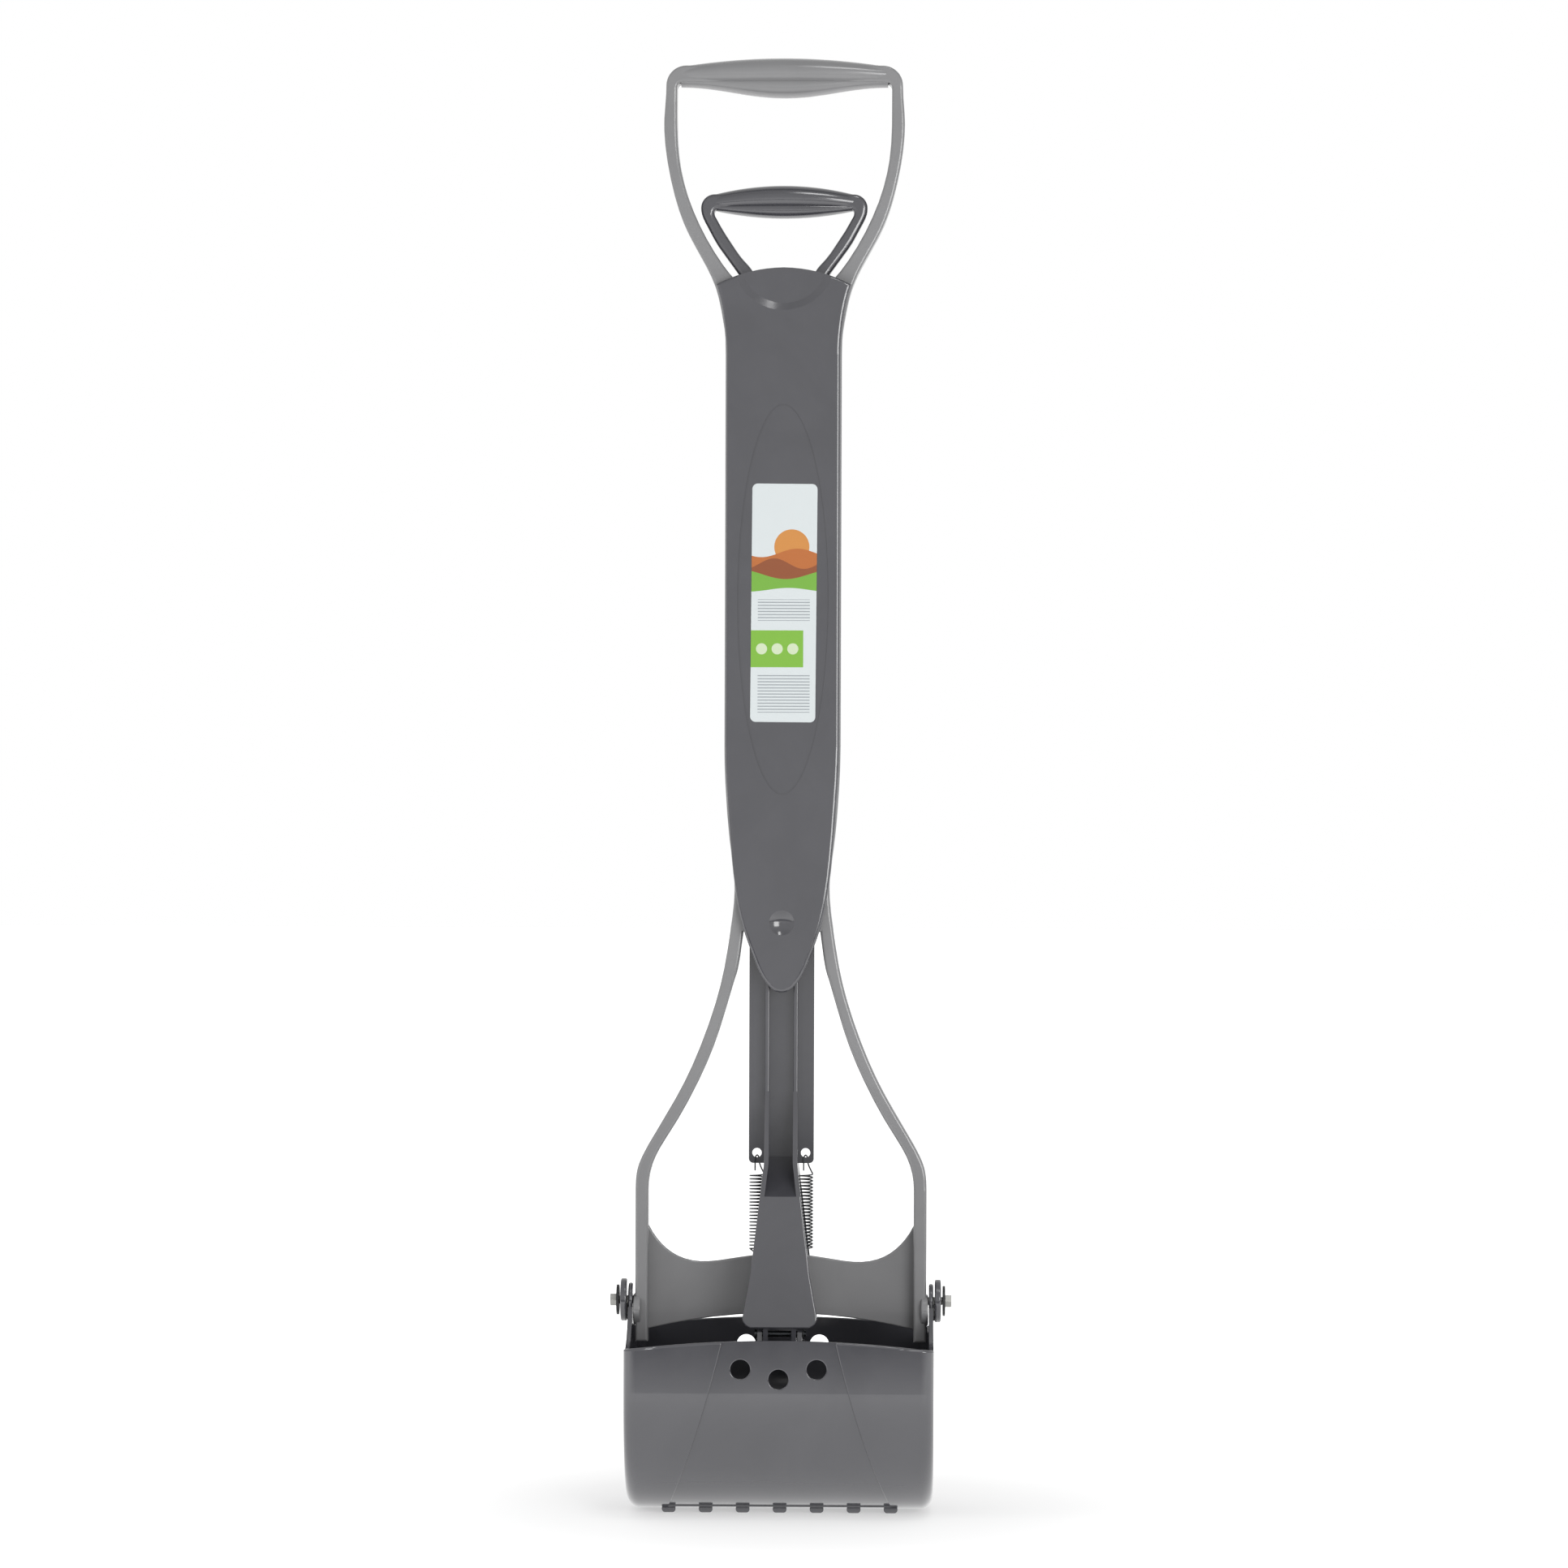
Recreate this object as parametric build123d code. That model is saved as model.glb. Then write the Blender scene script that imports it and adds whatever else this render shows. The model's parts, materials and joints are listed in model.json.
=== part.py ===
from build123d import *
import os
from math import cos, pi, radians, sin, sqrt

# A long-handled claw scoop for picking up after a dog. Squeezing the trigger towards the
# handle lifts a rod, whose foot opens two jaws; two springs pull the rod down again.
# The origin is on the ground under the middle of the closed jaws. X runs across the scoop,
# Y from its front to its back and Z up. All lengths are in millimetres.

# Fits shared by all pieces
overrun = 6.0
slide_clearance = 0.4
turning_clearance = 0.1
fixed_clearance = 0.05
mouth_gap = 0.3

# Jaws
jaw_half_width = 84.0
jaw_wall = 2.4
jaw_radius = 70.0
jaw_wall_rise = 28.5
jaw_rim_drop = 5.2
jaw_edge_radius = 7.0
jaw_rim_width = 10.0
jaw_rim_radius = 1.3
jaw_rim_inner_radius = 0.7
panel_depth = 0.7
panel_top_half_width = 30.3
panel_middle_half_width = 41.0
panel_foot_half_width = 62.0
panel_middle_drop = 40.0
panel_edge_radius = 0.6
drain_radius = 5.3
drain_spacing = 20.6
drain_side_drop = 15.6
drain_middle_drop = 20.9
drain_edge_radius = 0.6
tooth_count = 7
tooth_pitch = 20.3
tooth_height = 1.5
tooth_width = 7.0
tooth_foot_width = 3.2
tooth_length = 17.0
tooth_foot_length = 14.5
tooth_root = 2.1

# Pivots of the jaws, on the two arms of the frame
pivot_rise = 15.4
ear_radius = 9.4
ear_relief = 0.6
ear_edge_radius = 1.0
ear_neck_drop = 3.2
outer_ear_radius = 11.8
outer_ear_wall = 3.5
outer_ear_gap = 0.8
ledge_reach = 16.0
ledge_rise = 10.4
ledge_top_drop = 1.1
ledge_edge_radius = 2.0
side_dip_share = 0.62
side_sag_share = 0.2

# Levers inside the jaws and the pins that the rod lifts them by
lever_radius = 34.0
lever_angle = 27.0
lever_inner = 9.7
lever_wall = 2.5
lever_head_radius = 3.2
lever_neck_reach = 7.0
lever_neck_drop = 13.2
lever_root_top_drop = 10.0
lever_root_height = 30.0
lever_bow = 5.0
pin_radius = 1.8
pin_head_radius = 3.0
pin_head_height = 1.2
pin_tail = 1.0
clip_radius = 3.1
clip_thickness = 0.8
pin_side_play = 0.3

# Pivot bolts, with washers under their heads and nuts in the arms
bolt_radius = 2.4
bolt_head_flats = 6.4
bolt_head_height = 3.5
bolt_free_length = 0.9
washer_radius = 8.3
washer_thickness = 1.4
nut_flats = 8.0
nut_height = 3.5
nut_cover = 1.4
nut_clearance = 0.1
bolt_tip_recess = 0.5

# Frame: D handle, long body, fork and the guard between its arms
frame_depth = 15.0
frame_edge_radius = 1.5
arm_width = 7.1
arm_pad_height = 1.0
arm_pad_depth = 3.0
arm_pad_edge_radius = 0.9
arm_pad_width = 22.0
arm_pad_radius = 8.5
arm_pad_drop = 5.0
arm_tail = 22.4
arm_rise = 61.3
fork_rise = 168.9
crotch_drop = 26.8
crotch_half_width = 21.2
waist_half_width = 26.2
taper_rise = 75.3
body_length = 215.0
body_half_width = 32.0
handle_rise = 130.0
handle_half_width = 66.3
handle_rail_width = 7.1
shoulder_rise = 30.1
shoulder_lean = 1.1
shoulder_radius = 11.0
hand_hole_depth = 97.9
hand_hole_corner = 3.0
grip_bar_height = 9.2
grip_crown = 4.6
grip_reach = 57.0
grip_half_depth = 12.5
grip_end_half_depth = 7.2
grip_swell = 1.8
belly_drop = 6.3
belly_end_drop = 2.2
belly_half_depth = 9.5
belly_end_half_depth = 6.3
belly_overlap = 7.0

# Guard between the arms
guard_thickness = 2.6
guard_edge_radius = 0.8
guard_end_offset = 0.4
guard_bulge = 2.6
guard_top_rise = 41.3
guard_middle_rise = 23.1
guard_bottom_drop = 15.9
guard_arch = 8.5
anchor_hole_radius = 1.6
anchor_hole_drop = 4.9

# Rear of the body and the cover on its front
back_face = 13.0
back_wall = 2.4
back_edge_radius = 1.6
rim_width = 2.8
cover_front = 13.0
cover_wall = 2.2
cover_edge_radius = 1.8
cover_inset = 0.7
cover_top_rise = 48.5
cover_corner_rise = 39.0
cover_corner_half_width = 37.2
cover_tip_drop = 135.3
oval_half_width = 25.1
oval_half_height = 107.3
oval_depth = 0.5
oval_drop = 26.6
dimple_radius = 6.9
dimple_depth = 2.5
scallop_radius = 26.5
scallop_band = 4.0
scallop_depth = 1.6
scallop_rise = 4.9
label_width = 35.8
label_height = 131.0
label_corner = 3.0
label_thickness = 0.25
label_shift = 0.6
label_sink = 2.0
label_tilt = -0.4

# Screws from the back into bosses inside the cover
boss_radius = 3.4
stop_boss_radius = 4.0
boss_half_spacing = 24.6
boss_pitch = 100.0
boss_rows = 3
boss_joint = 2.6
stop_boss_drop = 21.6
screw_radius = 1.4
screw_length = 12.0
screw_head_radius = 3.0
screw_head_height = 1.8
screw_head_clearance = 0.3

# Pull rod: trigger, plate, ribs and the split foot
plate_half_width = 17.9
plate_thickness = 2.4
plate_corner = 2.5
guide_wall = 2.0
rail_inner = 12.0
rail_wall = 2.0
rail_margin = 10.0
rib_inner = 6.6
rib_wall = 2.5
rib_depth = 7.0
rib_edge_radius = 0.7
wing_hole_radius = 2.6
foot_wall = 2.4
foot_flange = 8.5
foot_start_rise = 34.1
foot_ramp_rise = 3.1
foot_ramp_top_rise = 2.2
foot_face_drop = 20.9
foot_face_reach = 27.5
foot_reach = 37.6
foot_clearance = 3.4
foot_half_width = 21.4
foot_waist_half_width = 16.3
foot_waist_rise = 28.2
foot_waist_bend = 14.0
foot_neck_bend = 30.0
foot_corner = 5.4
foot_edge_radius = 0.8
lug_inner = 6.4
lug_wall = 2.6
lug_margin = 2.6
slot_clearance = 0.45
slot_end_clearance = 0.4
trigger_gap = 48.3
trigger_half_width = 45.9
trigger_crown = 5.0
trigger_bar_height = 8.4
trigger_hole_half_width = 38.5
trigger_corner_radius = 7.5
trigger_leg_drop = 54.5
trigger_leg_width = 7.3
trigger_half_depth = 5.5
trigger_edge_radius = 2.4
trigger_reach = 39.0
trigger_grip_half_depth = 9.6
trigger_grip_end_half_depth = 5.2
trigger_belly_drop = 4.7
trigger_belly_end_drop = 0.4
trigger_belly_half_depth = 7.4
trigger_belly_end_half_depth = 4.6
trigger_belly_overlap = 5.0
trigger_crotch_rise = 5.0
trigger_hole_corner = 2.0

# Return springs
wire_diameter = 0.8
coil_radius = 3.95
coil_turns = 23
coil_pitch = 1.83
spring_spacing = 13.4
wing_hole_offset = 4.5
hook_radius = 2.4
hook_turn = 65.0
hook_seat = 1.2
hook_tail = 6.0
low_hook_rise = 9.2
high_hook_rise = 12.0
gap_samples = 24

# Shapes of the outlines, as shares of the sizes that they follow
handle_outer_shares = ((0.828, 0.948), (0.689, 0.837), (0.552, 0.662), (0.414, 0.385), (0.276, 0.146),
                       (0.138, 0.035))
handle_inner_shares = ((1.0, 1.0, 1.0), (0.828, 0.948, 0.95), (0.689, 0.837, 1.01), (0.552, 0.662, 1.17),
                       (0.414, 0.385, 1.28), (0.345, 0.257, 1.6))
taper_shares = ((0.4, 0.2), (0.75, 0.63))
fork_outer_shares = ((0.149, 0.037), (0.318, 0.129), (0.483, 0.285), (0.642, 0.494), (0.801, 0.774),
                     (0.9, 0.945))
fork_inner_shares = ((0.318, 0.129, 0.99), (0.483, 0.285, 1.01), (0.642, 0.494, 1.07), (0.801, 0.774, 1.13),
                     (0.9, 0.945, 1.06))
cover_neck_shares = ((0.138, 0.035),)
cover_tip_shares = ((0.265, 0.946), (0.43, 0.892), (0.594, 0.809), (0.753, 0.659), (0.86, 0.49),
                    (0.967, 0.25))
trigger_outer_shares = ((0.246, 0.954), (0.328, 0.871), (0.494, 0.696), (0.657, 0.471), (0.822, 0.239))
trigger_inner_shares = ((0.246, 0.954, 0.99), (0.328, 0.871, 1.01), (0.494, 0.696, 1.13),
                        (0.657, 0.471, 1.13), (0.74, 0.354, 1.24))
guard_top_shares = ((0.91, 0.46), (0.79, 0.08), (0.64, -0.1), (0.52, -0.1))
crotch_heading_shares = (-0.12, 1.0)
neck_heading_shares = (-0.35, -1.0)
loft_shares = (-1.0, -0.5, 0.0, 0.5, 1.0)

# Places that follow from the sizes
floor_centre_z = tooth_height + jaw_radius
rim_z = floor_centre_z + jaw_wall_rise
pivot_z = rim_z + pivot_rise
jaw_inner = jaw_half_width - jaw_wall
mouth = mouth_gap / 2
arm_outer = jaw_inner - slide_clearance - arm_pad_height
arm_inner = arm_outer - arm_width
half_depth = frame_depth / 2
arm_top_z = pivot_z + arm_rise
waist_z = arm_top_z + fork_rise
crotch_z = waist_z - crotch_drop
body_low_z = waist_z + taper_rise
body_top_z = body_low_z + body_length
handle_wide_z = body_top_z + handle_rise
bar_top_z = handle_wide_z + shoulder_rise
bar_low_z = bar_top_z - grip_bar_height
hand_hole_z = handle_wide_z - hand_hole_depth
oval_z = body_top_z - body_length / 2 - oval_drop
rail_low_z = crotch_z + rail_margin
rail_high_z = hand_hole_z - rail_margin
pocket_back = back_face - back_wall
pocket_front = cover_front - cover_wall
outer_ear_low = jaw_half_width + outer_ear_gap
outer_ear_high = outer_ear_low + outer_ear_wall
washer_low = outer_ear_high + bolt_free_length
bolt_head_low = washer_low + washer_thickness
lever_drop = lever_radius * sin(radians(lever_angle))
pin_reach = lever_radius * cos(radians(lever_angle))
pin_z = pivot_z - lever_drop
travel = 2 * lever_drop
lever_outer = lever_inner + lever_wall
foot_low_z = pin_z + foot_clearance
guard_anchor_z = pivot_z + guard_middle_rise - anchor_hole_drop
coil_low_z = guard_anchor_z + low_hook_rise
coil_high_z = coil_low_z + coil_turns * coil_pitch
wing_hole_z = coil_high_z + high_hook_rise
plate_low_z = wing_hole_z - wing_hole_offset
foot_start_z = wing_hole_z + foot_start_rise
foot_face_z = plate_low_z - foot_face_drop + foot_ramp_rise
stop_boss_z = waist_z - stop_boss_drop
trigger_top_z = bar_low_z - grip_swell - belly_drop - trigger_gap - trigger_crown
trigger_low_z = trigger_top_z - trigger_leg_drop
guide_outer = plate_half_width + slide_clearance + guide_wall


def side_slab(outline, x_low, x_high):
    """Extrude an outline drawn in Y and Z between two places across the scoop."""
    return extrude(Plane.YZ.offset(x_low) * outline, x_high - x_low)


def front_slab(outline, y_front, y_back):
    """Extrude an outline drawn in X and Z from a front face to a back face."""
    return extrude(Plane.XZ.offset(-y_back) * outline, y_back - y_front)


def block(x_low, x_high, y_low, y_high, z_low, z_high):
    """A box between two corners."""
    box = Box(x_high - x_low, y_high - y_low, z_high - z_low, align=(Align.MIN, Align.MIN, Align.MIN))
    return Pos(x_low, y_low, z_low) * box


def bar_across(y, z, radius, x_low, x_high):
    """A round bar along X."""
    return side_slab(Pos(y, z) * Circle(radius), x_low, x_high)


def bar_through(x, z, radius, y_front, y_back):
    """A round bar along Y."""
    return front_slab(Pos(x, z) * Circle(radius), y_front, y_back)


def both_sides(shape):
    """A shape on the right with its mirror image on the left."""
    return shape + mirror(shape, about=Plane.YZ)


def both_halves(right_edges):
    """Close the right half of an outline, drawn from the centre line back to it, with its mirror image."""
    left_edges = [edge.mirror(Plane.YZ) for edge in right_edges]
    return make_face(list(right_edges) + left_edges)


def swollen_bar(reach, middle_z, end_z, middle_half, end_half, middle_depth, end_depth, eased=False):
    """A bar along X with oval sections that swell towards its middle, eased so that its ends run level."""
    sections = []
    for share in loft_shares:
        fade = sin(share * pi / 2) ** 2 if eased else share * share
        centre = middle_z + fade * (end_z - middle_z)
        height = middle_half + fade * (end_half - middle_half)
        depth = middle_depth + fade * (end_depth - middle_depth)
        sections.append(Plane.YZ.offset(share * reach) * Pos(0, centre) * Ellipse(depth, height))
    return loft(sections)


def rounded_faces(solid, y_front, y_back, radius, low_z=0):
    """Round the edges that lie in a solid's front and back faces, above a height."""
    touching = radius / 10
    rims = [edge for edge in solid.edges()
            if edge.bounding_box().size.Y < touching and edge.center().Z > low_z + touching
            and min(abs(edge.center().Y - y_front), abs(edge.center().Y - y_back)) < touching]
    return fillet(rims, radius)


# Frame
def handle_point(rise_share, out_share):
    """A point on the outside of the handle."""
    x = body_half_width + out_share * (handle_half_width - body_half_width)
    return x, body_top_z + rise_share * handle_rise


def fork_point(drop_share, out_share):
    """A point on the outside of the fork."""
    x = waist_half_width + out_share * (arm_outer - waist_half_width)
    return x, waist_z - drop_share * fork_rise


def taper_point(drop_share, in_share):
    """A point on the outside of the body where it narrows to the waist."""
    x = body_half_width - in_share * (body_half_width - waist_half_width)
    return x, body_low_z - drop_share * taper_rise


def frame_outline():
    """Front outline of the handle, body, fork and arms."""
    shoulder = (handle_half_width - shoulder_lean, bar_top_z - shoulder_radius)
    bar_end = (shoulder[0] - shoulder_radius, bar_top_z)
    arm_low_z = pivot_z - arm_tail
    handle = [handle_point(*row) for row in handle_outer_shares]
    fork = [taper_point(*row) for row in taper_shares] + [(waist_half_width, waist_z)]
    fork += [fork_point(*row) for row in fork_outer_shares] + [(arm_outer, arm_top_z)]
    inside = [(arm_inner, arm_top_z)]
    for drop_share, out_share, band_share in reversed(fork_inner_shares):
        x, z = fork_point(drop_share, out_share)
        inside.append((x - band_share * arm_width, z))
    inside.append((crotch_half_width, crotch_z))
    down = (0, -1)
    return both_halves([
        Line((0, bar_top_z), bar_end),
        TangentArc(bar_end, shoulder, tangent=(1, 0)),
        Spline(shoulder, (handle_half_width, handle_wide_z), *handle, (body_half_width, body_top_z),
               tangents=(down, down)),
        Line((body_half_width, body_top_z), (body_half_width, body_low_z)),
        Spline((body_half_width, body_low_z), *fork, tangents=(down, down)),
        Line((arm_outer, arm_top_z), (arm_outer, arm_low_z)),
        Line((arm_outer, arm_low_z), (arm_inner, arm_low_z)),
        Line((arm_inner, arm_low_z), (arm_inner, arm_top_z)),
        Spline(*inside, tangents=((0, 1), crotch_heading_shares)),
        Line((crotch_half_width, crotch_z), (0, crotch_z)),
    ])


def hand_hole_outline():
    """Opening of the D handle."""
    side = []
    for rise_share, out_share, band_share in handle_inner_shares:
        x, z = handle_point(rise_share, out_share)
        side.append((x - band_share * handle_rail_width, z))
    top_x = side[0][0]
    corner = (top_x, bar_low_z - hand_hole_corner)
    return both_halves([
        Line((0, bar_low_z), (top_x - hand_hole_corner, bar_low_z)),
        TangentArc((top_x - hand_hole_corner, bar_low_z), corner, tangent=(1, 0)),
        Spline(corner, *side, (0, hand_hole_z), tangents=((0, -1), (-1, 0))),
    ])


def shield_outline(inset):
    """Outline of the cover and of the back of the body, drawn in by an inset."""
    half = body_half_width - cover_inset - inset
    top_z = body_top_z + cover_top_rise - inset
    corner = (cover_corner_half_width - inset, body_top_z + cover_corner_rise - inset)
    neck = []
    for row in cover_neck_shares:
        x, z = handle_point(*row)
        neck.append((x - cover_inset - inset, z))
    drop = cover_tip_drop - inset
    tip = []
    for drop_share, width_share in cover_tip_shares:
        tip.append((half * width_share, body_low_z - drop_share * drop))
    arch_middle = (corner[0] / 2, top_z - (top_z - corner[1]) / 4)
    return both_halves([
        ThreePointArc((0, top_z), arch_middle, corner),
        Spline(corner, *reversed(neck), (half, body_top_z), tangents=(neck_heading_shares, (0, -1))),
        Line((half, body_top_z), (half, body_low_z)),
        Spline((half, body_low_z), *tip, (0, body_low_z - drop), tangents=((0, -1), (-1, 0))),
    ])


def grip():
    """The swollen hand grip with the narrower belly under it."""
    middle_low = bar_low_z - grip_swell
    middle_top = bar_top_z + grip_crown
    main = swollen_bar(grip_reach, (middle_low + middle_top) / 2, (bar_low_z + bar_top_z) / 2,
                       (middle_top - middle_low) / 2, grip_bar_height / 2,
                       grip_half_depth, grip_end_half_depth)
    belly_low = middle_low - belly_drop
    end_low = bar_low_z - belly_end_drop
    middle_half = (belly_drop + belly_overlap) / 2
    end_half = (belly_end_drop + belly_overlap / 2) / 2
    belly = swollen_bar(grip_reach, belly_low + middle_half, end_low + end_half, middle_half, end_half,
                        belly_half_depth, belly_end_half_depth, eased=True)
    return main + belly


def guard():
    """The curved guard that joins the arms, with a hole for each spring."""
    front_end = guard_end_offset
    front_middle = guard_end_offset + guard_bulge
    reach = arm_inner + arm_width / 2
    plan = make_face([
        ThreePointArc((-reach, front_end), (0, front_middle), (reach, front_end)),
        Line((reach, front_end), (reach, front_end + guard_thickness)),
        ThreePointArc((reach, front_end + guard_thickness), (0, front_middle + guard_thickness),
                      (-reach, front_end + guard_thickness)),
        Line((-reach, front_end + guard_thickness), (-reach, front_end)),
    ])
    top_z = pivot_z + guard_top_rise
    middle_z = pivot_z + guard_middle_rise
    low_end_z = pivot_z - guard_bottom_drop
    top = [(arm_inner * width_share, middle_z + rise_share * (top_z - middle_z))
           for width_share, rise_share in guard_top_shares]
    outline = both_halves([
        Spline((0, middle_z), *reversed(top), (arm_inner, top_z)),
        Line((arm_inner, top_z), (reach, top_z)),
        Line((reach, top_z), (reach, low_end_z)),
        Line((reach, low_end_z), (arm_inner, low_end_z)),
        ThreePointArc((arm_inner, low_end_z), (arm_inner / 2, low_end_z + guard_arch * 3 / 4),
                      (0, low_end_z + guard_arch)),
    ])
    sheet = extrude(Plane.XY.offset(low_end_z - overrun) * plan, top_z - low_end_z + 2 * overrun)
    sheet &= front_slab(outline, -half_depth, half_depth)
    long_edges = [edge for edge in sheet.edges()
                  if edge.bounding_box().size.X > arm_inner / 2 and abs((edge @ 0.5).X) < arm_inner]
    sheet = fillet(long_edges, guard_edge_radius)
    for side in (-1, 1):
        sheet -= bar_through(side * spring_spacing, guard_anchor_z, anchor_hole_radius,
                             -overrun, half_depth + overrun)
    return sheet


def screw_places():
    """X, Z and boss radius of each cover screw."""
    places = []
    for row in range(boss_rows):
        z = body_top_z - row * boss_pitch
        places += [(-boss_half_spacing, z, boss_radius), (boss_half_spacing, z, boss_radius)]
    return places + [(0, stop_boss_z, stop_boss_radius)]


def arm_details(side):
    """Pad, bolt hole and closed nut pocket of one arm, as what is added and what is cut."""
    pad_z = pivot_z - arm_pad_drop
    pad_outline = Pos(0, pad_z) * SlotOverall(arm_pad_width, 2 * arm_pad_radius)
    pad = side_slab(pad_outline, arm_outer - arm_pad_depth, arm_outer + arm_pad_height)
    pad = fillet(pad.edges().group_by(Axis.X)[-1] + pad.edges().group_by(Axis.X)[0], arm_pad_edge_radius)
    bore = bar_across(0, pivot_z, bolt_radius + fixed_clearance, arm_inner + nut_cover, jaw_inner + overrun)
    hexagon = RegularPolygon(nut_flats / 2 + nut_clearance, 6, major_radius=False)
    nut_low = arm_inner + nut_cover
    pocket = side_slab(Pos(0, pivot_z) * hexagon, nut_low, nut_low + nut_height)
    cuts = bore + pocket
    if side < 0:
        return mirror(pad, about=Plane.YZ), mirror(cuts, about=Plane.YZ)
    return pad, cuts


def frame():
    """The light grey moulding: D handle, hollow body, fork, arms and guard."""
    plate = front_slab(frame_outline(), -half_depth, half_depth)
    plate -= front_slab(hand_hole_outline(), -half_depth - overrun, half_depth + overrun)
    plate = rounded_faces(plate, -half_depth, half_depth, frame_edge_radius)
    back = front_slab(shield_outline(0), half_depth - frame_edge_radius * 2, back_face)
    back = rounded_faces(back, back_face, back_face, back_edge_radius)
    back -= front_slab(hand_hole_outline(), 0, pocket_back)
    body = plate + grip() + back
    pocket = front_slab(shield_outline(rim_width), -half_depth - overrun, pocket_back)
    pocket -= block(-body_half_width * 2, body_half_width * 2, -frame_depth, frame_depth,
                    hand_hole_z - rail_margin * 2, bar_top_z)
    body -= pocket
    passage_half = plate_half_width + slide_clearance
    body -= block(-guide_outer, guide_outer, -half_depth - overrun, pocket_back,
                  body_top_z, bar_low_z - grip_bar_height)
    body -= block(-passage_half, passage_half, -half_depth - overrun, pocket_back,
                  foot_start_z, body_top_z)
    rail_front = plate_thickness / 2 + slide_clearance
    body += both_sides(block(rail_inner, rail_inner + rail_wall, rail_front, pocket_back,
                             rail_low_z, rail_high_z))
    body += both_sides(block(passage_half, guide_outer, -plate_thickness, pocket_back,
                             body_low_z, rail_high_z))
    for x, z, radius in screw_places():
        body += bar_through(x, z, radius, boss_joint, pocket_back)
        body -= bar_through(x, z, screw_radius + fixed_clearance, boss_joint - overrun, back_face + overrun)
        head_seat = back_face - screw_head_height
        body -= bar_through(x, z, screw_head_radius + screw_head_clearance, head_seat, back_face + overrun)
    body += guard()
    for side in (-1, 1):
        pad, cuts = arm_details(side)
        body += pad
        body -= cuts
    return body


# Cover and label
def front_cover():
    """The dark cover: a shallow pan with bosses, guide rails, an oval recess and a thumb scallop."""
    pan = front_slab(shield_outline(0), -cover_front, -half_depth)
    pan = rounded_faces(pan, -cover_front, -cover_front, cover_edge_radius)
    pan -= front_slab(shield_outline(cover_wall), -pocket_front, -half_depth + overrun)
    oval = Pos(0, oval_z) * Ellipse(oval_half_width, oval_half_height)
    pan -= front_slab(oval, -cover_front - overrun, -cover_front + oval_depth)
    ball_radius = (dimple_radius ** 2 + dimple_depth ** 2) / (2 * dimple_depth)
    scallop_z = body_top_z + cover_top_rise + scallop_rise
    scallop = Plane((0, -cover_front + scallop_depth, scallop_z), z_dir=(0, -1, 0)) * Cone(
        scallop_radius - scallop_band / 2, scallop_radius + scallop_band / 2, scallop_depth,
        align=(Align.CENTER, Align.CENTER, Align.MIN))
    pan -= scallop
    rail_back = -plate_thickness / 2 - slide_clearance
    pan += both_sides(block(rail_inner, rail_inner + rail_wall, -pocket_front, rail_back,
                            rail_low_z, rail_high_z))
    for x, z, radius in screw_places():
        pan += bar_through(x, z, radius, -pocket_front, boss_joint)
        deepest = back_face - screw_head_height - screw_length
        pan -= bar_through(x, z, screw_radius + fixed_clearance, deepest, boss_joint + overrun)
    pan += bar_through(0, stop_boss_z, dimple_radius, -pocket_front, -pocket_front + dimple_depth)
    pan -= Pos(0, -cover_front - ball_radius + dimple_depth, stop_boss_z) * Sphere(ball_radius)
    return pan


def label():
    """The sticker in the cover's oval recess."""
    outline = Pos(label_shift, oval_z - label_sink) * Rot(0, 0, label_tilt) * RectangleRounded(
        label_width, label_height, label_corner)
    face = -cover_front + oval_depth
    return front_slab(outline, face - label_thickness, face)


def cover_screws():
    """The screws that hold the cover, driven from the back."""
    screws = []
    for x, z, radius in screw_places():
        seat = back_face - screw_head_height
        head = bar_through(x, z, screw_head_radius, seat, back_face - screw_head_clearance)
        screws.append(head + bar_through(x, z, screw_radius, seat - screw_length, seat))
    return Compound(children=screws)


# Pull rod
def trigger_point(drop_share, out_share):
    """A point on the outside of the trigger's legs."""
    x = plate_half_width + out_share * (trigger_half_width - plate_half_width)
    return x, trigger_top_z - drop_share * trigger_leg_drop


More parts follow.
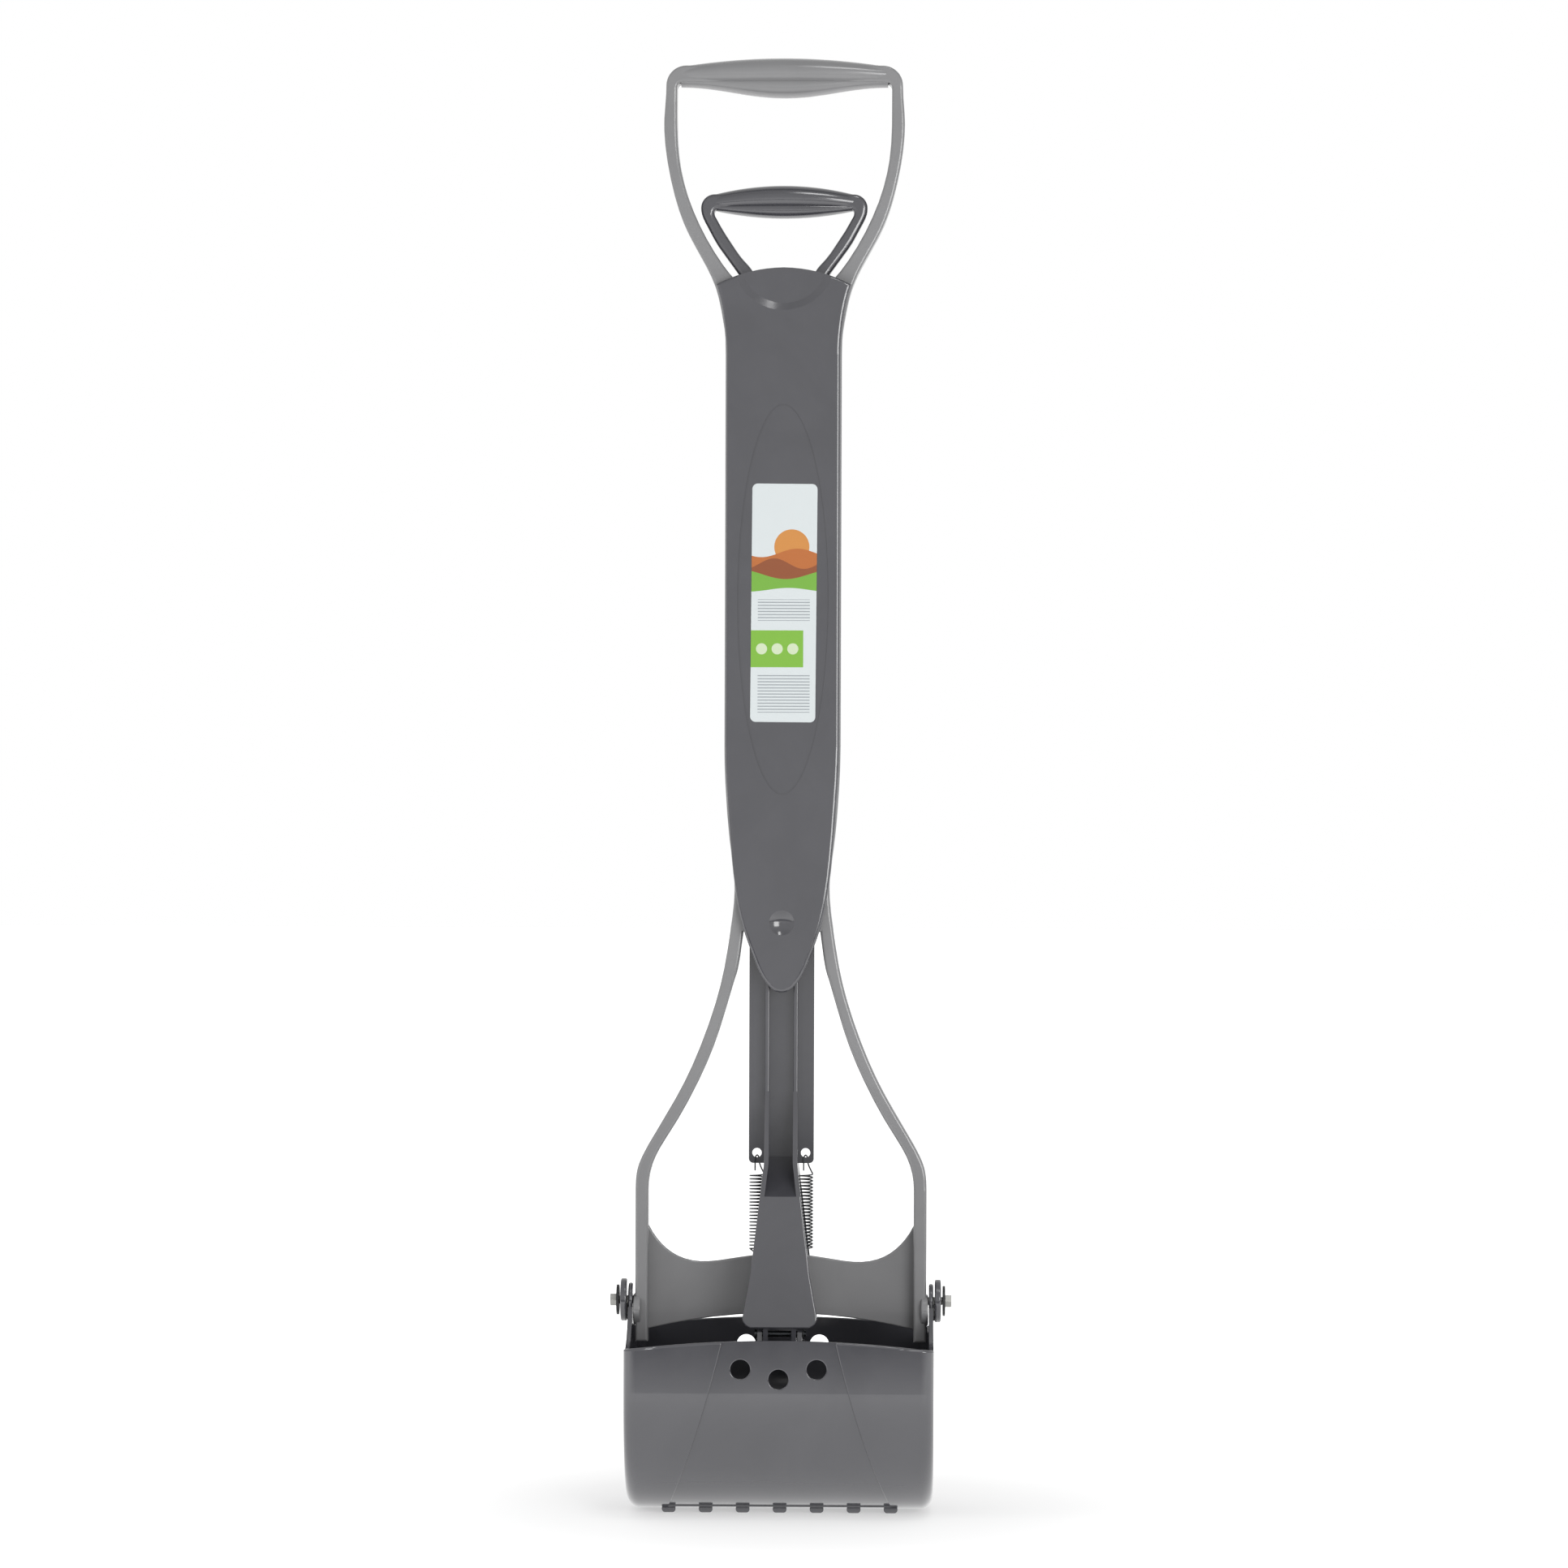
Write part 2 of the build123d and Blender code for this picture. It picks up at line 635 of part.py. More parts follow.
def trigger():
    """The trigger: a small swollen grip on two legs that lean in to the rod."""
    flat_end = (trigger_half_width - trigger_corner_radius, trigger_top_z)
    corner = (trigger_half_width, trigger_top_z - trigger_corner_radius)
    legs = [trigger_point(*row) for row in trigger_outer_shares]
    foot = (plate_half_width, trigger_low_z)
    outline = both_halves([
        Line((0, trigger_top_z), flat_end),
        TangentArc(flat_end, corner, tangent=(1, 0)),
        Spline(corner, *legs, foot, tangents=((0, -1), (foot[0] - legs[-1][0], foot[1] - legs[-1][1]))),
        Line(foot, (0, trigger_low_z)),
    ])
    bar_low = trigger_top_z - trigger_bar_height
    inner = []
    for drop_share, out_share, band_share in trigger_inner_shares:
        x, z = trigger_point(drop_share, out_share)
        inner.append((x - band_share * trigger_leg_width, z))
    hole_x = trigger_hole_half_width - trigger_hole_corner
    hole_corner = (trigger_hole_half_width, bar_low - trigger_hole_corner)
    hole = both_halves([
        Line((0, bar_low), (hole_x, bar_low)),
        TangentArc((hole_x, bar_low), hole_corner, tangent=(1, 0)),
        Spline(hole_corner, *inner, (0, trigger_low_z + trigger_crotch_rise), tangents=((0, -1), (-1, 0))),
    ])
    loop = front_slab(outline, -trigger_half_depth, trigger_half_depth)
    loop -= front_slab(hole, -trigger_half_depth - overrun, trigger_half_depth + overrun)
    loop = rounded_faces(loop, -trigger_half_depth, trigger_half_depth, trigger_edge_radius, trigger_low_z)
    middle_top = trigger_top_z + trigger_crown
    main = swollen_bar(trigger_reach, (middle_top + bar_low) / 2, (trigger_top_z + bar_low) / 2,
                       (middle_top - bar_low) / 2, trigger_bar_height / 2,
                       trigger_grip_half_depth, trigger_grip_end_half_depth)
    middle_half = (trigger_belly_drop + trigger_belly_overlap) / 2
    end_half = (trigger_belly_end_drop + trigger_belly_overlap / 2) / 2
    belly = swollen_bar(trigger_reach, bar_low - trigger_belly_drop + middle_half,
                        bar_low - trigger_belly_end_drop + end_half, middle_half, end_half,
                        trigger_belly_half_depth, trigger_belly_end_half_depth)
    return loop + main + belly


def foot_outline(inset):
    """Front outline of the foot, from the ribs down to its wide lower edge."""
    neck_half = rib_inner + rib_wall - inset
    waist_half = foot_waist_half_width - inset
    wide = foot_half_width - inset
    top_z = foot_start_z + overrun
    bend_z = foot_low_z + foot_waist_rise
    low_z = foot_low_z if inset == 0 else foot_low_z - overrun
    outline = make_face(Polyline((neck_half, top_z), (neck_half, plate_low_z), (waist_half, bend_z),
                                 (wide, low_z), (-wide, low_z), (-waist_half, bend_z),
                                 (-neck_half, plate_low_z), (-neck_half, top_z), close=True))
    rows = outline.vertices().group_by(Axis.Y)
    outline = fillet(rows[0], foot_corner if inset == 0 else foot_corner - foot_wall)
    for z, radius in ((bend_z, foot_waist_bend), (plate_low_z, foot_neck_bend)):
        corners = outline.vertices().filter_by_position(Axis.Y, z - foot_wall, z + foot_wall)
        outline = fillet(corners, radius)
    return outline


def foot_depth(z):
    """How far the foot's front face stands out at a height."""
    if z > foot_face_z:
        return rib_depth + (foot_start_z - z) / (foot_start_z - foot_face_z) * (foot_face_reach - rib_depth)
    return foot_face_reach + (foot_face_z - z) / (foot_face_z - foot_low_z) * (foot_reach - foot_face_reach)


def foot_rims(shell):
    """The edges round the outer faces of the foot's two legs."""
    touching = foot_wall / 10
    rims = []
    for edge in shell.edges():
        middle = edge @ 0.5
        level = edge.bounding_box().size.Z < touching and middle.Z > foot_low_z + touching
        if level or middle.Z > foot_start_z - touching:
            continue
        if abs(abs(middle.Y) - foot_depth(middle.Z)) < touching:
            rims.append(edge)
    return rims


def foot():
    """The split foot: two spreading legs, open inside, that straddle the guard."""
    start = (-rib_depth, foot_start_z)
    face = (-foot_face_reach, foot_face_z)
    toe = (-foot_reach, foot_low_z)
    inner_toe = (-foot_reach + foot_flange, foot_low_z)
    inner_face = (-foot_face_reach + foot_flange, foot_face_z)
    crotch = (0, plate_low_z)
    profile = both_halves([
        Line((0, foot_start_z), start),
        Line(start, face),
        Line(face, toe),
        Line(toe, inner_toe),
        Line(inner_toe, inner_face),
        Line(inner_face, crotch),
    ])
    shell = side_slab(profile, -foot_half_width, foot_half_width)
    shell &= front_slab(foot_outline(0), -foot_reach - overrun, foot_reach + overrun)
    shell = fillet(foot_rims(shell), foot_edge_radius)
    ramp_top_z = plate_low_z + foot_ramp_top_rise
    channel = both_halves([
        Line((0, foot_start_z + overrun), (-foot_reach - overrun, foot_start_z + overrun)),
        Line((-foot_reach - overrun, foot_start_z + overrun), (-foot_reach - overrun, foot_face_z)),
        Line((-foot_reach - overrun, foot_face_z), face),
        Line(face, (0, ramp_top_z + plate_thickness / 2)),
    ])
    ramp_drop = foot_wall * sqrt(2)
    hollow = both_halves([
        Line((0, ramp_top_z - ramp_drop), (-foot_face_reach + foot_wall, foot_face_z - ramp_drop)),
        Line((-foot_face_reach + foot_wall, foot_face_z - ramp_drop),
             (-foot_reach + foot_wall, foot_low_z)),
        Line((-foot_reach + foot_wall, foot_low_z), (-foot_reach + foot_wall, foot_low_z - overrun)),
        Line((-foot_reach + foot_wall, foot_low_z - overrun), (0, foot_low_z - overrun)),
    ])
    opened = side_slab(channel, -foot_half_width, foot_half_width)
    opened += side_slab(hollow, -foot_half_width, foot_half_width)
    opened &= front_slab(foot_outline(rib_wall), -foot_reach - 3 * overrun, foot_reach + 3 * overrun)
    return shell - opened


def foot_lug():
    """One lug of the foot, with the level slot that its jaw's pin slides in."""
    reach = lever_radius + pin_radius + slot_end_clearance
    slot_near = pin_reach - pin_radius - slot_end_clearance
    slot_half = pin_radius + slot_clearance
    low_z = pin_z - slot_half - lug_margin
    near = slot_near - lug_margin
    far = foot_reach - foot_wall / 2
    top_z = foot_low_z + foot_clearance * 2
    outline = make_face(Polyline((-far, low_z), (-near, low_z), (-near, foot_low_z),
                                 (-far + lug_margin, top_z), (-far, top_z), close=True))
    slot = Pos(-(reach + slot_near) / 2, pin_z) * SlotOverall(reach - slot_near, 2 * slot_half)
    return side_slab(outline - slot, lug_inner, lug_inner + lug_wall)


def pull_rod():
    """Trigger, flat rod, stiffening ribs and foot in one dark moulding."""
    thin = plate_thickness / 2
    outline = Rectangle(2 * plate_half_width, trigger_low_z - plate_low_z + plate_thickness)
    outline = Pos(0, (plate_low_z + trigger_low_z) / 2) * outline
    outline = fillet(outline.vertices().group_by(Axis.Y)[0], plate_corner)
    rod = front_slab(outline, -thin, thin)
    rib = block(rib_inner, rib_inner + rib_wall, -rib_depth, rib_depth,
                foot_start_z, trigger_low_z + plate_thickness)
    rib = fillet(rib.edges().filter_by(Axis.Z), rib_edge_radius)
    rod += both_sides(rib)
    rod += foot()
    lug = foot_lug()
    lugs = both_sides(lug)
    rod += lugs + mirror(lugs, about=Plane.XZ)
    rod += trigger()
    for side in (-1, 1):
        rod -= bar_through(side * spring_spacing, wing_hole_z, wing_hole_radius,
                           -thin - overrun, thin + overrun)
    slot_half = stop_boss_radius + slide_clearance
    slot_high = stop_boss_z + slot_half
    slot_low = stop_boss_z - travel - slot_half
    slot = Rot(0, 0, 90) * SlotOverall(slot_high - slot_low, 2 * slot_half)
    rod -= front_slab(Pos(0, (slot_high + slot_low) / 2) * slot, -thin - overrun, thin + overrun)
    return rod


# Jaws, drawn with their mouth towards the middle and their back at positive Y
def jaw_block(inset):
    """The outside of a jaw, or its hollow when it is drawn in by the wall."""
    radius = jaw_radius - inset
    half_width = jaw_half_width - inset
    top_z = pivot_z + outer_ear_radius + overrun
    low_z = floor_centre_z - radius
    slant = radius / sqrt(2)
    outline = make_face([
        Line((-overrun, low_z), (0, low_z)),
        ThreePointArc((0, low_z), (slant, floor_centre_z - slant), (radius, floor_centre_z)),
        Line((radius, floor_centre_z), (radius, top_z)),
        Line((radius, top_z), (-overrun, top_z)),
        Line((-overrun, top_z), (-overrun, low_z)),
    ])
    solid = side_slab(outline, -half_width, half_width)
    touching = jaw_wall / 10
    ends = [edge for edge in solid.edges()
            if edge.bounding_box().size.X < touching and edge.center().Y > touching
            and edge.center().Z < top_z - touching]
    return fillet(ends, jaw_edge_radius - inset)


def jaw_side_trim(ear_side_points):
    """What is cut away above a jaw's side walls."""
    flat_end = (jaw_radius - jaw_rim_width / 2, rim_z - jaw_rim_drop)
    top_z = pivot_z + outer_ear_radius + 2 * overrun
    ear_foot = ear_side_points[0]
    dip = (ear_foot[0] + side_sag_share * (flat_end[0] - ear_foot[0]),
           flat_end[1] + (1 - side_dip_share) * (ear_foot[1] - flat_end[1]))
    outline = make_face([
        ThreePointArc(flat_end, dip, ear_foot),
        Polyline(ear_foot, *ear_side_points[1:], (-overrun * 2, top_z), (flat_end[0], top_z), flat_end),
    ])
    return both_sides(side_slab(outline, jaw_half_width - jaw_edge_radius, outer_ear_high + overrun))


def jaw_rim_trim():
    """What is cut away above the arched rim of a jaw's back wall."""
    top_z = pivot_z + outer_ear_radius + 2 * overrun
    half = jaw_half_width
    corner_z = rim_z - jaw_rim_drop
    outline = make_face([
        ThreePointArc((-half, corner_z), (0, rim_z), (half, corner_z)),
        Polyline((half, corner_z), (half + overrun, corner_z), (half + overrun, top_z),
                 (-half - overrun, top_z), (-half - overrun, corner_z), (-half, corner_z)),
    ])
    return front_slab(outline, jaw_radius - jaw_rim_width, jaw_radius + overrun)


def jaw_middle_trim():
    """What is cut away above the jaw between its side walls."""
    top_z = pivot_z + outer_ear_radius + 2 * overrun
    return block(-jaw_half_width + jaw_edge_radius, jaw_half_width - jaw_edge_radius, -2 * overrun,
                 jaw_radius - jaw_rim_width, rim_z - jaw_rim_drop, top_z)


def panel_recess():
    """The shallow step that sets the middle of the jaw's back wall in."""
    high = (panel_top_half_width, rim_z)
    middle = (panel_middle_half_width, rim_z - panel_middle_drop)
    low = (panel_foot_half_width, tooth_height)
    outline = both_halves([
        Line((0, rim_z + overrun), (panel_top_half_width, rim_z + overrun)),
        Line((panel_top_half_width, rim_z + overrun), high),
        ThreePointArc(high, middle, low),
        Line(low, (panel_foot_half_width, 0)),
        Line((panel_foot_half_width, 0), (0, 0)),
    ])
    skin = jaw_block(0) - jaw_block(panel_depth)
    return skin & front_slab(outline, tooth_length, jaw_radius + overrun)


def teeth():
    """Rounded pads under the lip of a jaw."""
    top_z = tooth_height + tooth_root
    foot_half = tooth_foot_width / 2
    width_half = tooth_width / 2
    bulge = ((foot_half + 2 * width_half) / 3, tooth_height / 3)
    front = both_halves([
        Line((0, top_z), (width_half, top_z)),
        ThreePointArc((width_half, top_z), bulge, (foot_half, 0)),
        Line((foot_half, 0), (0, 0)),
    ])
    nose = ((tooth_foot_length + 2 * tooth_length) / 3, tooth_height / 3)
    side = make_face([
        Polyline((tooth_length, top_z), (mouth, top_z), (mouth, 0), (tooth_foot_length, 0)),
        ThreePointArc((tooth_foot_length, 0), nose, (tooth_length, top_z)),
    ])
    tooth = side_slab(side, -tooth_width, tooth_width) & front_slab(front, 0, tooth_length + overrun)
    first = -(tooth_count - 1) / 2 * tooth_pitch
    return [Pos(first + index * tooth_pitch, 0, 0) * tooth for index in range(tooth_count)]


def lever():
    """One lever inside the jaw, from its back wall to the pin."""
    wall_reach = jaw_radius - jaw_wall / 2
    root_top = (wall_reach, rim_z - lever_root_top_drop)
    root_low_z = root_top[1] - lever_root_height
    root_low = (sqrt((jaw_radius - jaw_wall / 2) ** 2 - (floor_centre_z - root_low_z) ** 2), root_low_z)
    bend = (pin_reach + lever_neck_reach, pin_z - lever_neck_drop)
    head_high = (pin_reach + lever_head_radius * cos(radians(lever_angle)),
                 pin_z + lever_head_radius * sin(radians(lever_angle)))
    head_low = (pin_reach - lever_head_radius * cos(radians(lever_angle)),
                pin_z - lever_head_radius * sin(radians(lever_angle)))
    under = ((root_low[0] + head_low[0]) / 2 - lever_bow, (root_low[1] + head_low[1]) / 2 - lever_bow)
    outline = make_face([
        Polyline(root_low, root_top, bend, head_high, head_low),
        ThreePointArc(head_low, under, root_low),
    ])
    outline += Pos(pin_reach, pin_z) * Circle(lever_head_radius)
    outline -= Pos(pin_reach, pin_z) * Circle(pin_radius + fixed_clearance)
    return side_slab(outline, lever_inner, lever_outer)


def drained(shell):
    """The shell with three holes through its back wall, rounded on the outside."""
    places = ((-drain_spacing, drain_side_drop), (0, drain_middle_drop), (drain_spacing, drain_side_drop))
    for x, drop in places:
        shell -= bar_through(x, rim_z - drop, drain_radius,
                             jaw_radius - jaw_wall - overrun, jaw_radius + overrun)
    touching = panel_depth / 10
    outer = jaw_radius - panel_depth
    mouths = [edge for edge in shell.edges().filter_by(GeomType.CIRCLE)
              if abs(edge.radius - drain_radius) < touching and abs(edge.center().Y - outer) < touching]
    return fillet(mouths, drain_edge_radius)


def rim_edges(shell, y):
    """The long edges on top of a jaw's back wall, on its outer or its inner face."""
    low_z = rim_z - jaw_rim_drop - jaw_wall
    return [edge for edge in shell.edges() if edge.bounding_box().size.X > jaw_half_width
            and (edge @ 0.5).Z > low_z and abs((edge @ 0.5).Y - y) < jaw_wall / 10]


def panel_edges(shell):
    """The outer edges of the step at both sides of the set-in panel."""
    chosen = []
    for edge in shell.edges():
        middle = edge @ 0.5
        inside = panel_top_half_width < abs(middle.X) < panel_foot_half_width
        below = min(middle.Z - floor_centre_z, 0)
        outside = sqrt(middle.Y ** 2 + below ** 2) > jaw_radius - panel_depth / 2
        if inside and outside and edge.bounding_box().size.Z > jaw_rim_width:
            chosen.append(edge)
    return chosen


def jaw_shell(ear_side_points):
    """A jaw without its ears."""
    shell = jaw_block(0) - jaw_block(jaw_wall)
    shell -= jaw_rim_trim()
    shell -= jaw_middle_trim()
    shell = fillet(rim_edges(shell, jaw_radius), jaw_rim_radius)
    shell = fillet(rim_edges(shell, jaw_radius - jaw_wall), jaw_rim_inner_radius)
    shell -= panel_recess()
    shell = fillet(panel_edges(shell), panel_edge_radius)
    shell -= jaw_side_trim(ear_side_points)
    shell = drained(shell)
    for tooth in teeth():
        shell += tooth
    shell += both_sides(lever())
    wide = jaw_half_width + 2 * overrun
    high_z = pivot_z + outer_ear_radius + 3 * overrun
    return shell - block(-wide, wide, -3 * overrun, mouth, -overrun, high_z)


def rounded_disc(radius, x_low, x_high):
    """A disc round the pivot with soft edges."""
    disc = bar_across(0, pivot_z, radius, x_low, x_high)
    return fillet(disc.edges().filter_by(GeomType.CIRCLE), ear_edge_radius)


def front_jaw():
    """The jaw whose ears lie in the plane of its side walls, turned to face forwards."""
    neck_z = pivot_z - ear_neck_drop
    neck_reach = sqrt(ear_radius ** 2 - ear_neck_drop ** 2)
    jaw = jaw_shell([(neck_reach, neck_z), (0, neck_z)])
    jaw += both_sides(rounded_disc(ear_radius, jaw_inner, jaw_half_width))
    wide = jaw_half_width + overrun
    jaw -= bar_across(0, pivot_z, bolt_radius + turning_clearance, -wide, wide)
    return mirror(jaw, about=Plane.XZ)


def rear_jaw():
    """The jaw whose ears step out over the front jaw's."""
    ledge_top_z = pivot_z - ledge_top_drop
    ledge_low_z = ledge_top_z - ledge_rise
    relief = ear_radius + ear_relief
    jaw = jaw_shell([(ledge_reach, ledge_low_z), (ledge_reach, ledge_top_z), (0, ledge_top_z)])
    jaw -= both_sides(bar_across(0, pivot_z, relief, jaw_inner - jaw_edge_radius, outer_ear_low))
    ledge = Polyline((0, ledge_top_z), (ledge_reach, ledge_top_z), (ledge_reach, ledge_low_z),
                     (0, ledge_low_z), close=True)
    ledge_face = make_face(ledge) - Pos(0, pivot_z) * Circle(relief)
    ledge_face -= Pos(0, pivot_z) * Rectangle(relief, 4 * relief)
    step = side_slab(ledge_face, jaw_half_width - jaw_wall / 2, outer_ear_high)
    low_edges = step.edges().group_by(Axis.Z)[0].group_by(Axis.X)[-1]
    step = fillet(low_edges, ledge_edge_radius)
    jaw += both_sides(step + rounded_disc(outer_ear_radius, outer_ear_low, outer_ear_high))
    wide = outer_ear_high + overrun
    return jaw - bar_across(0, pivot_z, bolt_radius + turning_clearance, -wide, wide)


# Pins, clips, bolts, washers and nuts
def lever_pin():
    """A headed pin through both levers of a jaw."""
    head_face = lever_outer + pin_side_play
    tail = lever_outer + pin_side_play + clip_thickness + pin_tail
    pin = bar_across(pin_reach, pin_z, pin_radius, -head_face, tail)
    return pin + bar_across(pin_reach, pin_z, pin_head_radius, -head_face - pin_head_height, -head_face)


def pin_clip():
    """The push-on ring that keeps a lever pin in place."""
    near = lever_outer + pin_side_play
    ring = bar_across(pin_reach, pin_z, clip_radius, near, near + clip_thickness)
    return ring - bar_across(pin_reach, pin_z, pin_radius + fixed_clearance, near - overrun, near + overrun)


def pivot_bolt():
    """The hexagon-headed bolt of the right pivot."""
    shank = bar_across(0, pivot_z, bolt_radius, arm_inner + nut_cover + bolt_tip_recess, bolt_head_low)
    head = Pos(0, pivot_z) * RegularPolygon(bolt_head_flats / 2, 6, major_radius=False)
    head_top = bolt_head_low + bolt_head_height
    crown = Plane((head_top, 0, pivot_z), z_dir=(-1, 0, 0)) * Cone(
        bolt_head_flats / 2, bolt_head_flats / 2 + bolt_head_height, bolt_head_height,
        align=(Align.CENTER, Align.CENTER, Align.MIN))
    return shank + (side_slab(head, bolt_head_low, head_top) & crown)


def pivot_washer():
    """The large washer under the right bolt's head."""
    ring = bar_across(0, pivot_z, washer_radius, washer_low, bolt_head_low)
    return ring - bar_across(0, pivot_z, bolt_radius + fixed_clearance,
                             washer_low - overrun, bolt_head_low + overrun)


def pivot_nut():
    """The nut that is closed inside the right arm."""
    outline = Pos(0, pivot_z) * RegularPolygon(nut_flats / 2, 6, major_radius=False)
    outline -= Pos(0, pivot_z) * Circle(bolt_radius + fixed_clearance)
    return side_slab(outline, arm_inner + nut_cover, arm_inner + nut_cover + nut_height)


# Return springs
def spring_stations(x):
    """Places and directions along a spring's wire, from its lower hook to its upper one."""
    guard_y = guard_end_offset + guard_bulge + guard_thickness / 2
    axis_y = guard_y / 2
    turn = radians(hook_turn)
    across = Vector(cos(turn), sin(turn), 0) * hook_radius
    low_eye = Vector(x, guard_y, guard_anchor_z + hook_radius + wire_diameter / 2)
    high_eye = Vector(x, 0, wing_hole_z - wing_hole_radius - hook_seat)
    up = Vector(0, 0, 1)
    stations = [(low_eye - across + up * hook_tail, -up), (low_eye - across, -up), (low_eye + across, up)]
    for half_turn in range(1, 2 * coil_turns + 1):
        angle = half_turn * pi
        place = Vector(x + coil_radius * cos(angle), axis_y + coil_radius * sin(angle),
                       coil_low_z + half_turn * coil_pitch / 2)
        heading = Vector(-sin(angle) * coil_radius, cos(angle) * coil_radius, coil_pitch / (2 * pi))
        stations.append((place, heading.normalized()))
    tail_end = high_eye - across - up * hook_tail
    return stations + [(high_eye + across, up), (high_eye - across, -up), (tail_end, -up)]


def biarc(start, start_heading, end, end_heading):
    """Two arcs, or one straight line, that join two places in given directions."""
    chord = end - start
    if chord.cross(start_heading).length < wire_diameter / 1000:
        return [Edge.make_line(start, end)]
    along = chord.dot(start_heading + end_heading)
    spread = 2 * (1 - start_heading.dot(end_heading))
    if spread < 1 / 1000000:
        reach = chord.dot(chord) / (4 * chord.dot(end_heading))
    else:
        reach = (-along + sqrt(along ** 2 + spread * chord.dot(chord))) / spread
    near = start + start_heading * reach
    far = end - end_heading * reach
    middle = (near + far) / 2
    return [Edge.make_tangent_arc(start, start_heading, middle),
            Edge.make_tangent_arc(middle, (far - near).normalized(), end)]


def spring(x):
    """One extension spring: hooks and curls of a single wire."""
    stations = spring_stations(x)
    edges = []
    for (start, start_heading), (end, end_heading) in zip(stations, stations[1:]):
        edges += biarc(start, start_heading, end, end_heading)
    path = Wire(edges)
    places = [path @ (index / (gap_samples * len(edges))) for index in range(gap_samples * len(edges) + 1)]
    section = Plane(origin=places[0], z_dir=path % 0) * Circle(wire_diameter / 2)
    print("spring wire length", round(path.length, 1), "mm, least gap to itself",
          round(least_gap(places, path.length), 2), "mm")
    return sweep(section, path=path)


def least_gap(places, length):
    """The least space between stretches of wire that aren't neighbours along it."""
    step = length / (len(places) - 1)
    skip = int(coil_radius * 2 / step) + 1
    nearest = length
    for index, place in enumerate(places):
        for other in places[index + skip:index + 8 * skip]:
            nearest = min(nearest, (place - other).length)
    return nearest - wire_diameter


def save(shape, name):
    """Write one node's STEP file."""
    export_step(shape, "parts/" + name + ".step")


os.makedirs("parts", exist_ok=True)
save(frame(), "frame")
save(front_cover(), "front_cover")
save(label(), "label")
save(cover_screws(), "cover_screws")
save(pull_rod(), "pull_rod")
save(front_jaw(), "front_jaw")
save(rear_jaw(), "rear_jaw")
save(lever_pin(), "rear_lever_pin")
save(mirror(lever_pin(), about=Plane.XZ), "front_lever_pin")
save(pin_clip(), "rear_pin_clip")
save(mirror(pin_clip(), about=Plane.XZ), "front_pin_clip")
fasteners = ((pivot_bolt(), "pivot_bolt"), (pivot_washer(), "pivot_washer"), (pivot_nut(), "pivot_nut"))
for piece, name in fasteners:
    save(piece, name + "_right")
    save(mirror(piece, about=Plane.YZ), name + "_left")
save(spring(-spring_spacing), "spring_left")
save(spring(spring_spacing), "spring_right")
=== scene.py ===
import json
from math import cos, pi, radians, sin, tan
from typing import NamedTuple

import bmesh
import bpy
from mathutils import Matrix, Vector


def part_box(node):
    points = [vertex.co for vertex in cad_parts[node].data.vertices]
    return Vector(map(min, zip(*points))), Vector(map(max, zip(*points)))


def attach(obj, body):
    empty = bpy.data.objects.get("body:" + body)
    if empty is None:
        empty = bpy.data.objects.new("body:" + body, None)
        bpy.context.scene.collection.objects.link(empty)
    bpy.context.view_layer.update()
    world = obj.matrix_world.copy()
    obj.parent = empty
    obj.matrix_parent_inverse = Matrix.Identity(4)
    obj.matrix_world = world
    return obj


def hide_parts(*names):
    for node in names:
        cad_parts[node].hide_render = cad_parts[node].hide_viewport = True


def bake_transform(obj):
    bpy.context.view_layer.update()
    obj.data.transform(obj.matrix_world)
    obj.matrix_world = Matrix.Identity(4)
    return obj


# A long-handled claw scoop: a light grey D handle and fork, a dark grey cover, rod and jaws,
# steel springs and bolts and a printed sticker. X runs across, Y to the back, Z up, in metres.

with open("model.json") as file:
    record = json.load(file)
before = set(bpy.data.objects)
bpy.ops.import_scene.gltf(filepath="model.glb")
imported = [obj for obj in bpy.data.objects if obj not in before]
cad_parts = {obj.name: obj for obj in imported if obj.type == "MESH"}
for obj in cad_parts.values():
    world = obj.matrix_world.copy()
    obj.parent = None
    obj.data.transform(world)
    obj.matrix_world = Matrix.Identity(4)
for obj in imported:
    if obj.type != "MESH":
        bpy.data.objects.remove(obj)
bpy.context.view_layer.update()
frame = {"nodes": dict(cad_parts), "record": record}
nodes = frame["nodes"]
MM = 0.001

# Places on the moulded pieces that the dressed pieces seat on
PIVOT_Z = 115.4 * MM
SPRING_X = 13.4 * MM
GUARD_HOLE = Vector((0.0, 4.3, 133.6)) * MM
WING_HOLE = Vector((0.0, 0.0, 196.9)) * MM
WING_HOLE_RADIUS = 2.6 * MM

# Return springs: drawn steel wire of 0.8 mm in 23 open turns, with a hook at each end
WIRE = 0.8 * MM
COIL_RADIUS = 3.95 * MM
COIL_Y = 2.15 * MM
COIL_LOW_Z = 142.8 * MM
COIL_PITCH = 1.83 * MM
COIL_TURNS = 23
HOOK_RADIUS = 2.4 * MM
HOOK_TURN = radians(65)
HOOK_TAIL = 6.0 * MM
HOOK_SEAT = 1.2 * MM

# Cover screws: three pairs down the back and one at its foot
SCREW_X = 24.6 * MM
SCREW_TOP_Z = 635.9 * MM
SCREW_PITCH = 100.0 * MM
SCREW_ROWS = 3
FOOT_SCREW_Z = 324.0 * MM


class SwollenBar(NamedTuple):
    """One bar of a grip, in millimetres: its height over the ground, half height and half depth,
    each in its middle and at its ends. An eased bar runs level at its ends."""
    middle_z: float
    end_z: float
    middle_half: float
    end_half: float
    middle_depth: float
    end_depth: float
    eased: bool


